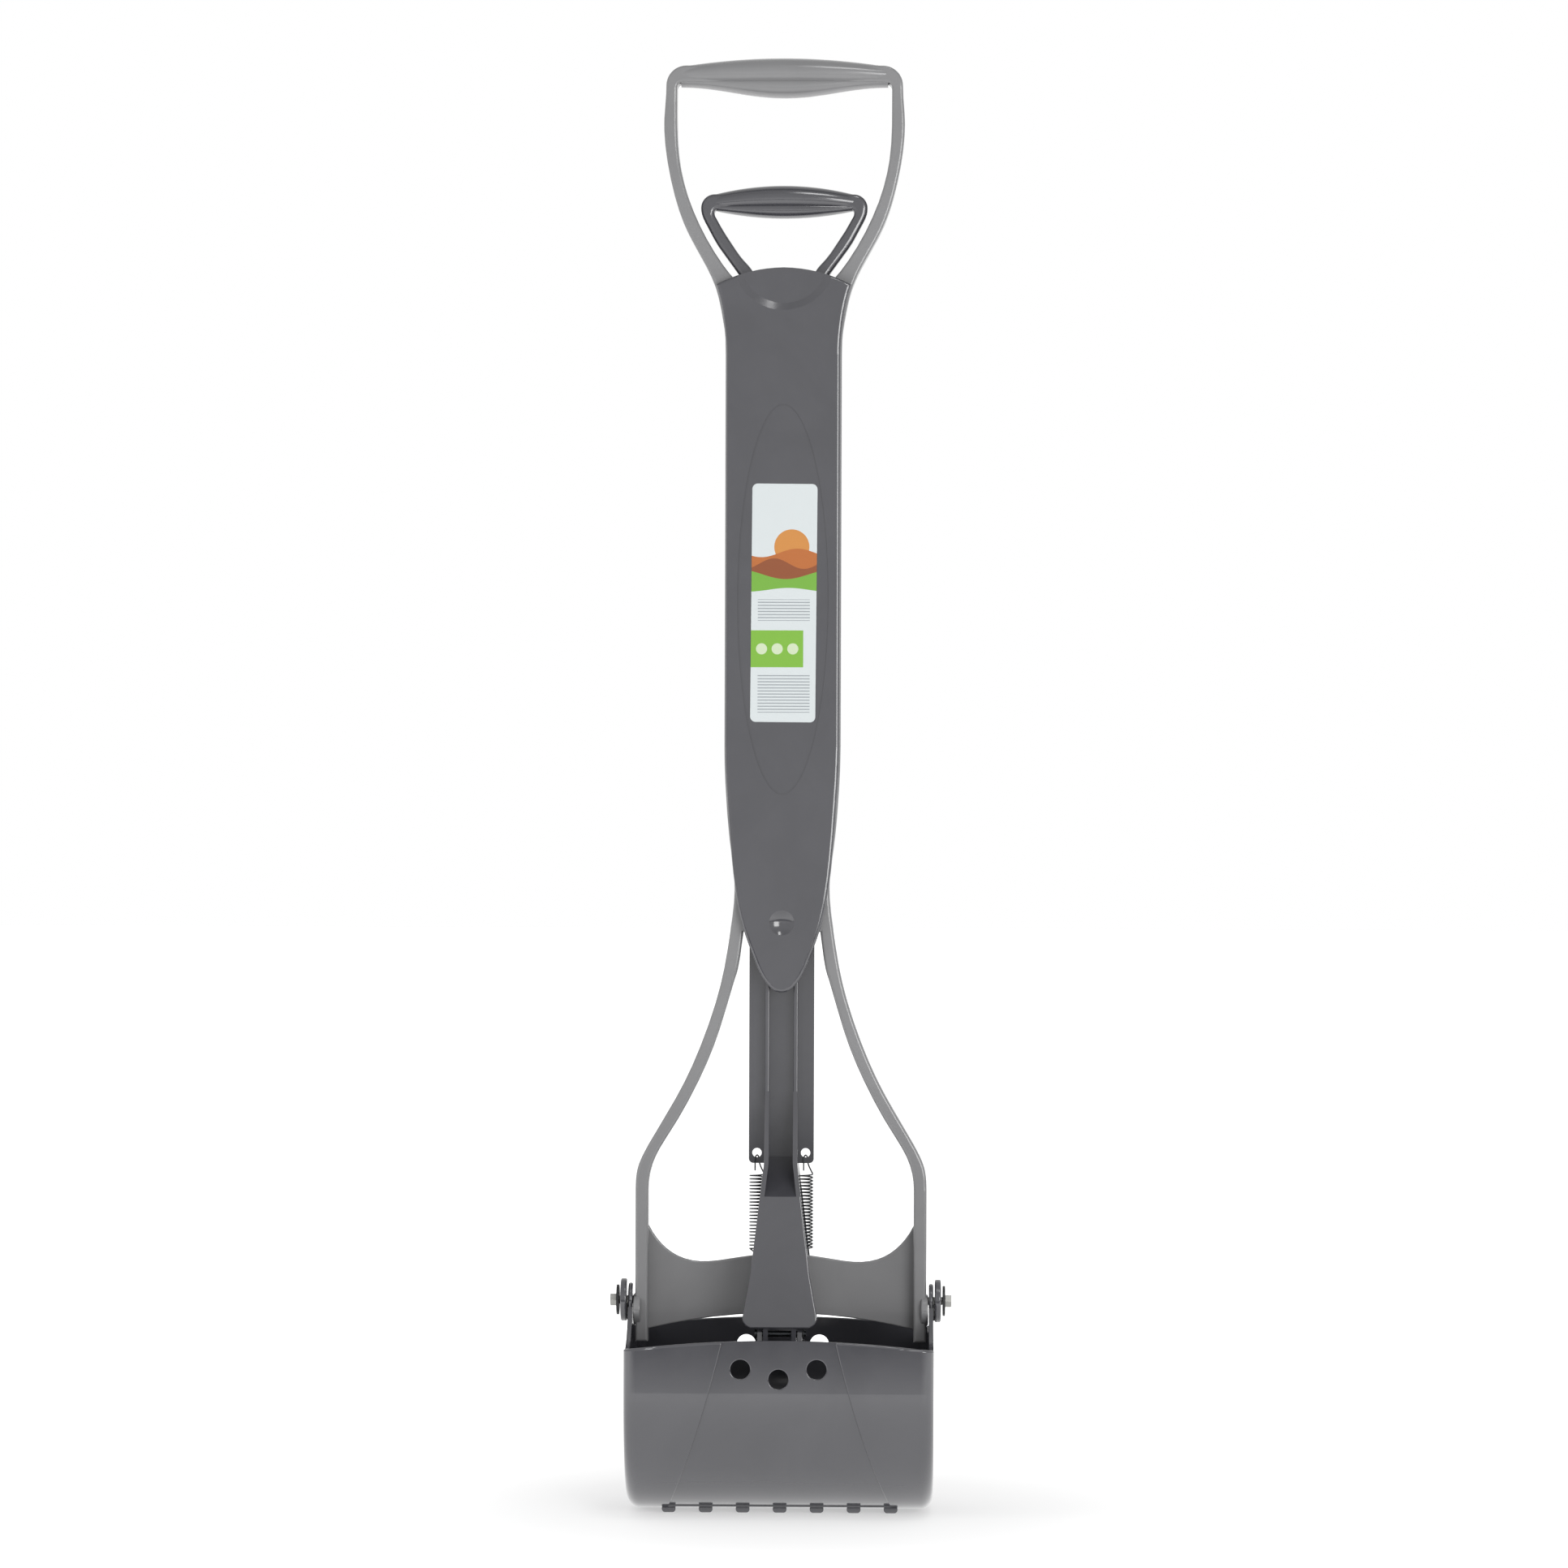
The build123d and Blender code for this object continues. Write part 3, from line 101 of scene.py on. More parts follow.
# Grips, in millimetres: a main bar over a belly. Their skin is a little proud in front and behind,
# and held in a little above and below.
TOP_GRIP_REACH = 57.0
TOP_GRIP = (SwollenBar(792.8, 791.4, 7.8, 4.6, 12.5, 7.2, eased=False),
            SwollenBar(785.35, 787.45, 6.65, 2.85, 9.5, 6.3, eased=True))
TRIGGER_REACH = 39.0
TRIGGER_GRIP = (SwollenBar(723.7, 721.2, 6.7, 4.2, 9.6, 5.2, eased=False),
                SwollenBar(717.15, 718.05, 4.85, 1.45, 7.4, 4.6, eased=False))
SKIN_PROUD = 0.1
SKIN_HELD_IN = 0.02


# Small helpers
def linear(code):
    """A linear colour from an sRGB hex code."""
    shades = [int(code[i:i + 2], 16) / 255 for i in (1, 3, 5)]
    return [s / 12.92 if s <= 0.04045 else ((s + 0.055) / 1.055) ** 2.4 for s in shades] + [1.0]


def put(tree, kind, inputs=None, **settings):
    """Add a node with its settings; each input is a value or a socket to link from."""
    made = tree.nodes.new(kind)
    for name, value in settings.items():
        setattr(made, name, value)
    for key, value in (inputs or {}).items():
        if isinstance(value, bpy.types.NodeSocket):
            tree.links.new(value, made.inputs[key])
        else:
            made.inputs[key].default_value = value
    return made


def new_material(name):
    """An empty material with its tree, a shader and the place of each point of the object."""
    material = bpy.data.materials.new(name)
    material.use_nodes = True
    tree = material.node_tree
    tree.nodes.clear()
    shader = put(tree, "ShaderNodeBsdfPrincipled")
    put(tree, "ShaderNodeOutputMaterial", {"Surface": shader.outputs["BSDF"]})
    place = put(tree, "ShaderNodeTexCoord").outputs["Object"]
    return material, tree, shader, place


def meshed(name, vertices, edges, faces):
    """A mesh object at the origin."""
    mesh = bpy.data.meshes.new(name)
    mesh.from_pydata(vertices, edges, faces)
    made = bpy.data.objects.new(name, mesh)
    bpy.context.scene.collection.objects.link(made)
    return made


def empty_tree(name, sizes):
    """A geometry node tree with a mesh going in and out and an input for each size."""
    tree = bpy.data.node_groups.new(name, "GeometryNodeTree")
    tree.interface.new_socket("Geometry", in_out="INPUT", socket_type="NodeSocketGeometry")
    tree.interface.new_socket("Geometry", in_out="OUTPUT", socket_type="NodeSocketGeometry")
    for label, kind in sizes:
        tree.interface.new_socket(label, in_out="INPUT", socket_type=kind)
    return tree, put(tree, "NodeGroupInput").outputs


def finished(tree, shape, finish):
    """End a tree: smooth, with its material, and as real geometry."""
    smooth = put(tree, "GeometryNodeSetShadeSmooth", {"Geometry": shape})
    coated = put(tree, "GeometryNodeSetMaterial", {"Geometry": smooth.outputs[0], "Material": finish})
    real = put(tree, "GeometryNodeRealizeInstances", {"Geometry": coated.outputs[0]})
    put(tree, "NodeGroupOutput", {"Geometry": real.outputs[0]})


def grown(base, tree, values):
    """Run a tree on an object with its sizes set, and keep the result as a plain mesh."""
    modifier = base.modifiers.new(tree.name, "NODES")
    modifier.node_group = tree
    for socket in tree.interface.items_tree:
        if socket.in_out == "INPUT" and socket.name in values:
            modifier[socket.identifier] = values[socket.name]
    shape = bpy.data.meshes.new_from_object(base.evaluated_get(bpy.context.evaluated_depsgraph_get()))
    shape.name = base.name
    base.modifiers.remove(modifier)
    base.data = shape
    return base


def joined(name, pieces):
    """One mesh object from several."""
    whole = bmesh.new()
    finishes_used = []
    for piece in pieces:
        part = piece.data.copy()
        part.transform(piece.matrix_basis)
        whole.from_mesh(part)
        finishes_used += [m for m in piece.data.materials if m and m not in finishes_used]
        bpy.data.objects.remove(piece)
    made = meshed(name, [], [], [])
    whole.to_mesh(made.data)
    whole.free()
    for finish in finishes_used:
        made.data.materials.append(finish)
    return made


def softened(piece, degrees):
    """Smooth shading with edges sharper than an angle kept."""
    piece.data.set_sharp_from_angle(angle=radians(degrees))
    for face in piece.data.polygons:
        face.use_smooth = True


# Materials
def moulded_polypropylene(name, shade, flow_shade, roughness, refraction):
    """Injection-moulded polypropylene. Polished tool steel leaves it smooth and waxy, with faint
    cloudy flow marks some centimetres wide, fine scuffs and an orange peel of about a millimetre."""
    flow_width, scuff_width, wave_width, peel_width = 45 * MM, 9 * MM, 22 * MM, 1.1 * MM
    wave_height, peel_height = 0.03 * MM, 0.004 * MM
    scuffing = 0.05
    material, tree, shader, place = new_material(name)
    clouds = put(tree, "ShaderNodeTexNoise", {"Vector": place, "Scale": 1 / flow_width, "Detail": 4.0,
                                              "Roughness": 0.55, "Distortion": 0.8})
    soft = put(tree, "ShaderNodeMapRange", {"Value": clouds.outputs["Fac"], "From Min": 0.35,
                                            "From Max": 0.68})
    tint = put(tree, "ShaderNodeMix", {0: soft.outputs["Result"], 6: linear(shade), 7: linear(flow_shade)},
               data_type="RGBA")
    tree.links.new(tint.outputs[2], shader.inputs["Base Color"])
    scuffs = put(tree, "ShaderNodeTexNoise", {"Vector": place, "Scale": 1 / scuff_width, "Detail": 6.0,
                                              "Roughness": 0.7})
    rough = put(tree, "ShaderNodeMapRange", {"Value": scuffs.outputs["Fac"], "From Min": 0.3,
                                             "From Max": 0.75, "To Min": roughness,
                                             "To Max": roughness + scuffing})
    tree.links.new(rough.outputs["Result"], shader.inputs["Roughness"])
    peel = put(tree, "ShaderNodeTexNoise", {"Vector": place, "Scale": 1 / peel_width, "Detail": 2.0})
    waves = put(tree, "ShaderNodeTexNoise", {"Vector": place, "Scale": 1 / wave_width, "Detail": 1.0})
    fine = put(tree, "ShaderNodeBump", {"Height": peel.outputs["Fac"], "Distance": peel_height,
                                        "Strength": 0.5})
    broad = put(tree, "ShaderNodeBump", {"Height": waves.outputs["Fac"], "Distance": wave_height,
                                         "Strength": 0.4, "Normal": fine.outputs["Normal"]})
    tree.links.new(broad.outputs["Normal"], shader.inputs["Normal"])
    shader.inputs["IOR"].default_value = refraction
    return material


def drawn_steel(name, shade, roughness, scratch_pitch):
    """Steel wire or plated steel: bright, with fine scratches from drawing or tumbling."""
    scratch_depth = 0.02 * MM
    brighter, smoother, rougher = 1.25, 0.06, 0.1
    material, tree, shader, place = new_material(name)
    marks = put(tree, "ShaderNodeTexNoise", {"Vector": place, "Scale": 1 / scratch_pitch, "Detail": 3.0})
    rough = put(tree, "ShaderNodeMapRange", {"Value": marks.outputs["Fac"], "From Min": 0.3,
                                             "From Max": 0.7, "To Min": roughness - smoother,
                                             "To Max": roughness + rougher})
    tree.links.new(rough.outputs["Result"], shader.inputs["Roughness"])
    worn = [min(1.0, value * brighter) for value in linear(shade)]
    tint = put(tree, "ShaderNodeMix", {0: marks.outputs["Fac"], 6: linear(shade), 7: worn}, data_type="RGBA")
    tree.links.new(tint.outputs[2], shader.inputs["Base Color"])
    bump = put(tree, "ShaderNodeBump", {"Height": marks.outputs["Fac"], "Distance": scratch_depth,
                                        "Strength": 0.4})
    tree.links.new(bump.outputs["Normal"], shader.inputs["Normal"])
    shader.inputs["Metallic"].default_value = 1.0
    return material


def black_oxide_steel(name):
    """Blackened steel of the washers and clips: dark, slightly oily, with a soft sheen in spots of 1.5 mm."""
    spot_width = 1.5 * MM
    material, tree, shader, place = new_material(name)
    spots = put(tree, "ShaderNodeTexNoise", {"Vector": place, "Scale": 1 / spot_width, "Detail": 4.0})
    tint = put(tree, "ShaderNodeMix", {0: spots.outputs["Fac"], 6: linear("#202122"), 7: linear("#3a3b3c")},
               data_type="RGBA")
    tree.links.new(tint.outputs[2], shader.inputs["Base Color"])
    rough = put(tree, "ShaderNodeMapRange", {"Value": spots.outputs["Fac"], "To Min": 0.32, "To Max": 0.5})
    tree.links.new(rough.outputs["Result"], shader.inputs["Roughness"])
    shader.inputs["Metallic"].default_value = 0.7
    return material


def printed_film(name):
    """A printed sticker: white polypropylene film under clear varnish, with flat inks and a faint
    ripple. The design is a plain one of a low sun, hills, hairlines 0.6 mm wide and a green panel.
    Its places are shares of the film's size from its middle; a disc's are all shares of the width."""
    film_width, film_height = 35.8 * MM, 131.0 * MM
    ripple_width, ripple_height = 14 * MM, 0.05 * MM
    hairlines, hairline_share = 78.0, 0.36
    white, line_grey, panel_green, pale_green = "#a6abac", "#787d80", "#5f8c27", "#a0ac90"
    sun_orange, clay_brown, deep_brown, meadow_green = "#a06a2e", "#8f4f1d", "#6d3715", "#588628"
    material, tree, shader, place = new_material(name)
    low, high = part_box("label")
    middle = [(a + b) / 2 for a, b in zip(low, high)]
    centred = put(tree, "ShaderNodeVectorMath", {0: place, 1: middle}, operation="SUBTRACT").outputs[0]
    scaled = put(tree, "ShaderNodeVectorMath", {0: centred, 1: (1 / film_width, 1.0, 1 / film_height)},
                 operation="MULTIPLY").outputs[0]
    evenly = put(tree, "ShaderNodeVectorMath", {0: centred, 1: (1 / film_width, 0.0, 1 / film_width)},
                 operation="MULTIPLY").outputs[0]
    split = put(tree, "ShaderNodeSeparateXYZ", {"Vector": scaled})
    across, up = split.outputs["X"], split.outputs["Z"]

    def hill(turns, phase, rise, level):
        """1 below a wavy line."""
        angle = put(tree, "ShaderNodeMath", {0: across, 1: 2 * pi * turns, 2: phase},
                    operation="MULTIPLY_ADD")
        swell = put(tree, "ShaderNodeMath", {0: angle.outputs[0]}, operation="SINE")
        line = put(tree, "ShaderNodeMath", {0: swell.outputs[0], 1: rise, 2: level},
                   operation="MULTIPLY_ADD")
        return put(tree, "ShaderNodeMath", {0: up, 1: line.outputs[0]}, operation="LESS_THAN").outputs[0]

    def disc(x, z, radius):
        """1 inside a circle."""
        away = put(tree, "ShaderNodeVectorMath", {0: evenly, 1: (x, 0.0, z)}, operation="DISTANCE")
        return put(tree, "ShaderNodeMath", {0: away.outputs["Value"], 1: radius},
                   operation="LESS_THAN").outputs[0]

    def block(left, right, bottom, top, inside=1.0):
        """1 inside an upright rectangle and any other shape that is given."""
        for value, edge, side in ((across, left, "GREATER_THAN"), (across, right, "LESS_THAN"),
                                  (up, bottom, "GREATER_THAN"), (up, top, "LESS_THAN")):
            test = put(tree, "ShaderNodeMath", {0: value, 1: edge}, operation=side)
            inside = put(tree, "ShaderNodeMath", {0: test.outputs[0], 1: inside},
                         operation="MULTIPLY").outputs[0]
        return inside

    rulings = put(tree, "ShaderNodeMath", {0: up, 1: hairlines}, operation="MULTIPLY")
    teeth = put(tree, "ShaderNodeMath", {0: rulings.outputs[0]}, operation="FRACT")
    stripes = put(tree, "ShaderNodeMath", {0: teeth.outputs[0], 1: hairline_share}, operation="LESS_THAN")
    printing = [(disc(0.12, 0.86, 0.27), sun_orange),
                (hill(0.9, 0.4, 0.018, 0.21), clay_brown),
                (hill(1.1, 2.6, 0.022, 0.165), deep_brown),
                (hill(0.7, 4.6, 0.02, 0.12), meadow_green),
                (hill(0.8, 1.2, 0.008, 0.055), white),
                (block(-0.4, 0.4, -0.075, 0.015, stripes.outputs[0]), line_grey),
                (block(-0.4, 0.4, -0.46, -0.3, stripes.outputs[0]), line_grey),
                (block(-0.6, 0.3, -0.27, -0.115), panel_green)]
    printing += [(disc(x, -0.705, 0.085), pale_green) for x in (-0.34, -0.1, 0.14)]
    tone = linear(white)
    for inked, ink in printing:
        tone = put(tree, "ShaderNodeMix", {0: inked, 6: tone, 7: linear(ink)}, data_type="RGBA").outputs[2]
    tree.links.new(tone, shader.inputs["Base Color"])
    ripple = put(tree, "ShaderNodeTexNoise", {"Vector": place, "Scale": 1 / ripple_width, "Detail": 1.0})
    bump = put(tree, "ShaderNodeBump", {"Height": ripple.outputs["Fac"], "Distance": ripple_height,
                                        "Strength": 0.5})
    tree.links.new(bump.outputs["Normal"], shader.inputs["Normal"])
    shader.inputs["Roughness"].default_value = 0.3
    shader.inputs["IOR"].default_value = 1.49
    return material


# Return springs
def lead(start, start_way, end, end_way):
    """Points on a smooth length of wire between two places that leaves and arrives in given directions."""
    count, stiffness = 14, 1.2
    pull = (end - start).length * stiffness
    points = []
    for index in range(1, count):
        t = index / count
        points.append(start * (2 * t ** 3 - 3 * t ** 2 + 1) + start_way * pull * (t ** 3 - 2 * t ** 2 + t)
                      + end * (3 * t ** 2 - 2 * t ** 3) + end_way * pull * (t ** 3 - t ** 2))
    return points


def spring_route(x):
    """The middle of a spring's wire: lower hook, open turns and upper hook."""
    bow_steps, tail_steps, turn_steps, first_turn = 12, 4, 30, 0.5
    into_coil, out_of_coil = Vector((0, -1, 0.1)), Vector((0, 1, 0.1))
    up = Vector((0, 0, 1))
    across = Vector((cos(HOOK_TURN), sin(HOOK_TURN), 0)) * HOOK_RADIUS
    low_eye = Vector((x, GUARD_HOLE.y, GUARD_HOLE.z + HOOK_RADIUS + WIRE / 2))
    high_eye = Vector((x, 0, WING_HOLE.z - WING_HOLE_RADIUS - HOOK_SEAT))

    def turn_point(turns):
        angle = 2 * pi * turns
        return Vector((x + COIL_RADIUS * cos(angle), COIL_Y + COIL_RADIUS * sin(angle),
                       COIL_LOW_Z + turns * COIL_PITCH))

    def bow(start, way):
        """Half a circle, below or above an eye, from a start on its left or right."""
        eye = low_eye if way < 0 else high_eye
        return [eye + start * cos(pi * step / bow_steps) + up * way * HOOK_RADIUS * sin(pi * step / bow_steps)
                for step in range(bow_steps + 1)]

    route = [low_eye - across + up * HOOK_TAIL * (1 - step / tail_steps) for step in range(tail_steps)]
    route += bow(-across, -1)
    route += lead(low_eye + across, up, turn_point(first_turn), into_coil)
    route += [turn_point(first_turn + step / turn_steps)
              for step in range(int((COIL_TURNS - first_turn) * turn_steps) + 1)]
    route += lead(turn_point(COIL_TURNS), out_of_coil, high_eye + across, up)
    route += bow(across, 1)
    route += [high_eye - across - up * HOOK_TAIL * (step / tail_steps) for step in range(1, tail_steps + 1)]
    return route


def wire_tree():
    """Sweeps a round wire along a chain of points."""
    tree, sizes = empty_tree("drawn_wire", (("Wire Diameter", "NodeSocketFloat"), ("Facets", "NodeSocketInt"),
                                            ("Finish", "NodeSocketMaterial")))
    radius = put(tree, "ShaderNodeMath", {0: sizes["Wire Diameter"], 1: 0.5}, operation="MULTIPLY")
    section = put(tree, "GeometryNodeCurvePrimitiveCircle", {"Resolution": sizes["Facets"],
                                                             "Radius": radius.outputs[0]})
    chain = put(tree, "GeometryNodeMeshToCurve", {"Mesh": sizes["Geometry"]})
    swept = put(tree, "GeometryNodeCurveToMesh", {"Curve": chain.outputs[0], "Fill Caps": True,
                                                  "Profile Curve": section.outputs[0]})
    finished(tree, swept.outputs[0], sizes["Finish"])
    return tree


def return_spring(side, tree, finish):
    """A spring with its hooks, running between the guard and the rod's wing."""
    node = "spring_right" if side > 0 else "spring_left"
    route = spring_route(side * SPRING_X)
    chain = meshed("dressed_" + node, route, [(i, i + 1) for i in range(len(route) - 1)], [])
    coil = grown(chain, tree, {"Wire Diameter": WIRE, "Facets": 10, "Finish": finish})
    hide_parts(node)
    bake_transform(coil)


# Grips
def oval_bar(reach, bar, vertices, faces):
    """Add a closed bar of oval sections along X to the vertices and faces of a skin."""
    steps, segments = 64, 72
    first = len(vertices)
    for step in range(steps + 1):
        share = 2 * step / steps - 1
        fade = sin(share * pi / 2) ** 2 if bar.eased else share * share
        centre = bar.middle_z + fade * (bar.end_z - bar.middle_z)
        half = bar.middle_half + fade * (bar.end_half - bar.middle_half) - SKIN_HELD_IN
        depth = bar.middle_depth + fade * (bar.end_depth - bar.middle_depth) + SKIN_PROUD
        for index in range(segments):
            angle = 2 * pi * index / segments
            vertices.append((share * reach * MM, -depth * cos(angle) * MM, (centre + half * sin(angle)) * MM))
    for step in range(steps):
        for index in range(segments):
            after = (index + 1) % segments
            near, far = first + step * segments, first + (step + 1) * segments
            faces.append((near + index, near + after, far + after, far + index))
    last = first + steps * segments
    faces.append(tuple(first + index for index in reversed(range(segments))))
    faces.append(tuple(last + index for index in range(segments)))


def grip_skin(name, node, reach, bars, finish):
    """The polished skin of a grip's main bar and belly, fitted over their solid."""
    vertices, faces = [], []
    for bar in bars:
        oval_bar(reach, bar, vertices, faces)
    skin = meshed(name, vertices, [], faces)
    skin.data.materials.append(finish)
    solid = bmesh.new()
    solid.from_mesh(skin.data)
    bmesh.ops.recalc_face_normals(solid, faces=solid.faces)
    solid.to_mesh(skin.data)
    solid.free()
    softened(skin, degrees=40)
    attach(skin, node)
    return skin


# Pivot bolts
def lathe(name, profile, segments):
    """A turned shape round Z from rows of radius and height; a radius may follow the angle."""
    rings = []
    vertices = []
    for radius, height in profile:
        ring = []
        for index in range(segments):
            angle = 2 * pi * index / segments
            reach = radius(angle) if callable(radius) else radius
            ring.append(len(vertices))
            vertices.append((reach * cos(angle), reach * sin(angle), height))
        rings.append(ring)
    faces = [tuple(reversed(rings[0])), tuple(rings[-1])]
    for lower, upper in zip(rings, rings[1:]):
        for index in range(segments):
            after = (index + 1) % segments
            faces.append((lower[index], lower[after], upper[after], upper[index]))
    return meshed(name, vertices, [], faces)


def thread_tree():
    """A bolt's shank with a rolled thread, upright on the ground: a three-sided ridge round a core."""
    tree, sizes = empty_tree("rolled_thread", (("Core Radius", "NodeSocketFloat"),
                                               ("Ridge", "NodeSocketFloat"),
                                               ("Pitch", "NodeSocketFloat"), ("Length", "NodeSocketFloat"),
                                               ("Finish", "NodeSocketMaterial")))
    turns = put(tree, "ShaderNodeMath", {0: sizes["Length"], 1: sizes["Pitch"]}, operation="DIVIDE")
    helix = put(tree, "GeometryNodeCurveSpiral", {"Resolution": 28, "Rotations": turns.outputs[0],
                                                  "Start Radius": sizes["Core Radius"],
                                                  "End Radius": sizes["Core Radius"],
                                                  "Height": sizes["Length"]})
    ridge = put(tree, "GeometryNodeCurvePrimitiveCircle", {"Resolution": 3, "Radius": sizes["Ridge"]})
    crest = put(tree, "GeometryNodeCurveToMesh", {"Curve": helix.outputs[0], "Fill Caps": True,
                                                  "Profile Curve": ridge.outputs[0]})
    core = put(tree, "GeometryNodeMeshCylinder", {"Vertices": 28, "Radius": sizes["Core Radius"],
                                                  "Depth": sizes["Length"]})
    half = put(tree, "ShaderNodeMath", {0: sizes["Length"], 1: 0.5}, operation="MULTIPLY")
    rise = put(tree, "ShaderNodeCombineXYZ", {"Z": half.outputs[0]})
    stood = put(tree, "GeometryNodeTransform", {"Geometry": core.outputs[0], "Translation": rise.outputs[0]})
    gathered = put(tree, "GeometryNodeJoinGeometry")
    tree.links.new(crest.outputs[0], gathered.inputs[0])
    tree.links.new(stood.outputs[0], gathered.inputs[0])
    finished(tree, gathered.outputs[0], sizes["Finish"])
    return tree


def hex_head(name, flats, height):
    """A hexagon head, chamfered and dished a little at its outer end as a cold-headed bolt's is."""
    land, dish = 0.25 * MM, 0.12 * MM
    middle_radius, middle_dish = 0.3 * MM, 0.16 * MM
    chamfer_steps, chamfer_angle = 6, radians(30)

    def side(angle):
        return flats / 2 / cos((angle + pi / 6) % (pi / 3) - pi / 6)

    def chamfer(reach):
        return lambda angle: min(side(angle), reach)

    corner = flats / 2 / cos(pi / 6)
    rise = (corner - flats / 2) * tan(chamfer_angle)
    rows = [(side, 0.0), (side, height - rise)]
    rows += [(chamfer(corner - (corner - flats / 2) * step / chamfer_steps),
              height - rise + rise * step / chamfer_steps) for step in range(1, chamfer_steps + 1)]
    rows += [(flats / 2 - land, height), (flats / 2 - 2 * land, height - dish),
             (middle_radius, height - middle_dish)]
    return lathe(name, rows, segments=72)


def pivot_bolt(side, tree, finish):
    """A hexagon-headed bolt with a rolled thread, on one side of the jaws."""
    name = "pivot_bolt_right" if side > 0 else "pivot_bolt_left"
    low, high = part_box(name)
    head_height, flats = 3.5 * MM, 6.4 * MM
    length = high.x - low.x - head_height
    shank = grown(meshed("shank", [], [], []), tree, {"Core Radius": 2.1 * MM, "Ridge": 0.3 * MM,
                                                      "Pitch": 0.8 * MM, "Length": length, "Finish": finish})
    head = hex_head("head", flats, head_height)
    head.data.transform(Matrix.Translation((0, 0, length)))
    head.data.materials.append(finish)
    bolt = joined("dressed_" + name, [shank, head])
    turned = Matrix.Rotation(radians(90 * side), 4, "Y")
    start = low.x if side > 0 else high.x
    bolt.data.transform(Matrix.Translation((start, 0, PIVOT_Z)) @ turned)
    softened(bolt, degrees=25)
    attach(bolt, "frame")
    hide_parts(name)


# Cover screws
def pan_head_screw(head_rise):
    """A pan-head screw with a cross recess, upright, with its seat on the ground."""
    head_radius, shank_radius, shank_length = 3.0 * MM, 1.4 * MM, 12.0 * MM
    rim_share = 0.45
    slot_span, slot_width, slot_height, slot_lift = 3.2 * MM, 0.75 * MM, 2.4 * MM, 0.35 * MM
    dome_angles = (20, 40, 58, 74, 85)
    rows = [(shank_radius, -shank_length), (shank_radius, 0.0), (head_radius, 0.0),
            (head_radius, head_rise * rim_share)]
    rows += [(head_radius * cos(radians(angle)),
              head_rise * (rim_share + (1 - rim_share) * sin(radians(angle))))
             for angle in dome_angles]
    screw = lathe("pan_head", rows, segments=40)
    cutter = bmesh.new()
    for turn in (0, 90):
        arm = bmesh.ops.create_cube(cutter, size=1.0)["verts"]
        bmesh.ops.scale(cutter, vec=(slot_span, slot_width, slot_height), verts=arm)
        bmesh.ops.translate(cutter, vec=(0, 0, head_rise + slot_lift), verts=arm)
        bmesh.ops.rotate(cutter, cent=(0, 0, 0), matrix=Matrix.Rotation(radians(turn), 3, "Z"), verts=arm)
    cross = meshed("cross", [], [], [])
    cutter.to_mesh(cross.data)
    cutter.free()
    cut = screw.modifiers.new("recess", "BOOLEAN")
    cut.operation, cut.object, cut.solver, cut.use_self = "DIFFERENCE", cross, "EXACT", True
    shape = bpy.data.meshes.new_from_object(screw.evaluated_get(bpy.context.evaluated_depsgraph_get()))
    screw.modifiers.remove(cut)
    screw.data = shape
    bpy.data.objects.remove(cross)
    return screw


def seated_screws_tree():
    """A copy of one screw on each given point, each turned by chance as a driver leaves it."""
    tree, sizes = empty_tree("seated_screws", (("Screw", "NodeSocketObject"),
                                               ("Finish", "NodeSocketMaterial")))
    screw = put(tree, "GeometryNodeObjectInfo", {"Object": sizes["Screw"]})
    spots = put(tree, "GeometryNodeMeshToPoints", {"Mesh": sizes["Geometry"]})
    turn = put(tree, "FunctionNodeRandomValue", {"Min": (0.0, 0.0, 0.0), "Max": (0.0, pi / 2, 0.0),
                                                 "Seed": 7}, data_type="FLOAT_VECTOR")
    placed = put(tree, "GeometryNodeInstanceOnPoints", {"Points": spots.outputs[0],
                                                        "Instance": screw.outputs["Geometry"],
                                                        "Rotation": turn.outputs[0]})
    finished(tree, placed.outputs[0], sizes["Finish"])
    return tree


def cover_screws(tree, finish):
    """The seven cover screws, driven from the back."""
    _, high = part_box("cover_screws")
    head_rise = 1.5 * MM
    screw = pan_head_screw(head_rise)
    screw.data.transform(Matrix.Rotation(radians(-90), 4, "X"))
    places = [(x, SCREW_TOP_Z - SCREW_PITCH * row) for row in range(SCREW_ROWS) for x in (-SCREW_X, SCREW_X)]
    places.append((0.0, FOOT_SCREW_Z))
    spots = [(x, high.y - head_rise, z) for x, z in places]
    screws = grown(meshed("dressed_cover_screws", spots, [], []), tree, {"Screw": screw, "Finish": finish})
    bpy.data.objects.remove(screw)
    softened(screws, degrees=30)
    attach(screws, "frame")
    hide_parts("cover_screws")


# Stage: world, floor, card, lights and camera
def studio_world():
    """A white tent that is thinner at its top: soft white from all sides and less from above."""
    world = bpy.data.worlds.new("studio_world")
    bpy.context.scene.world = world
    world.use_nodes = True
    tree = world.node_tree
    tree.nodes.clear()
    direction = put(tree, "ShaderNodeTexCoord").outputs["Generated"]
    split = put(tree, "ShaderNodeSeparateXYZ", {"Vector": direction})
    above = put(tree, "ShaderNodeMapRange", {"Value": split.outputs["Z"], "From Min": 0.45, "From Max": 0.85,
                                             "To Min": 1.0, "To Max": 0.75}, interpolation_type="SMOOTHSTEP")
    shown = put(tree, "ShaderNodeLightPath").outputs["Is Camera Ray"]
    lit = put(tree, "ShaderNodeBackground", {"Color": (1, 1, 1, 1), "Strength": above.outputs["Result"]})
    seen = put(tree, "ShaderNodeBackground", {"Color": (1, 1, 1, 1), "Strength": 1.0})
    mix = put(tree, "ShaderNodeMixShader", {0: shown, 1: lit.outputs[0], 2: seen.outputs[0]})
    put(tree, "ShaderNodeOutputWorld", {"Surface": mix.outputs[0]})


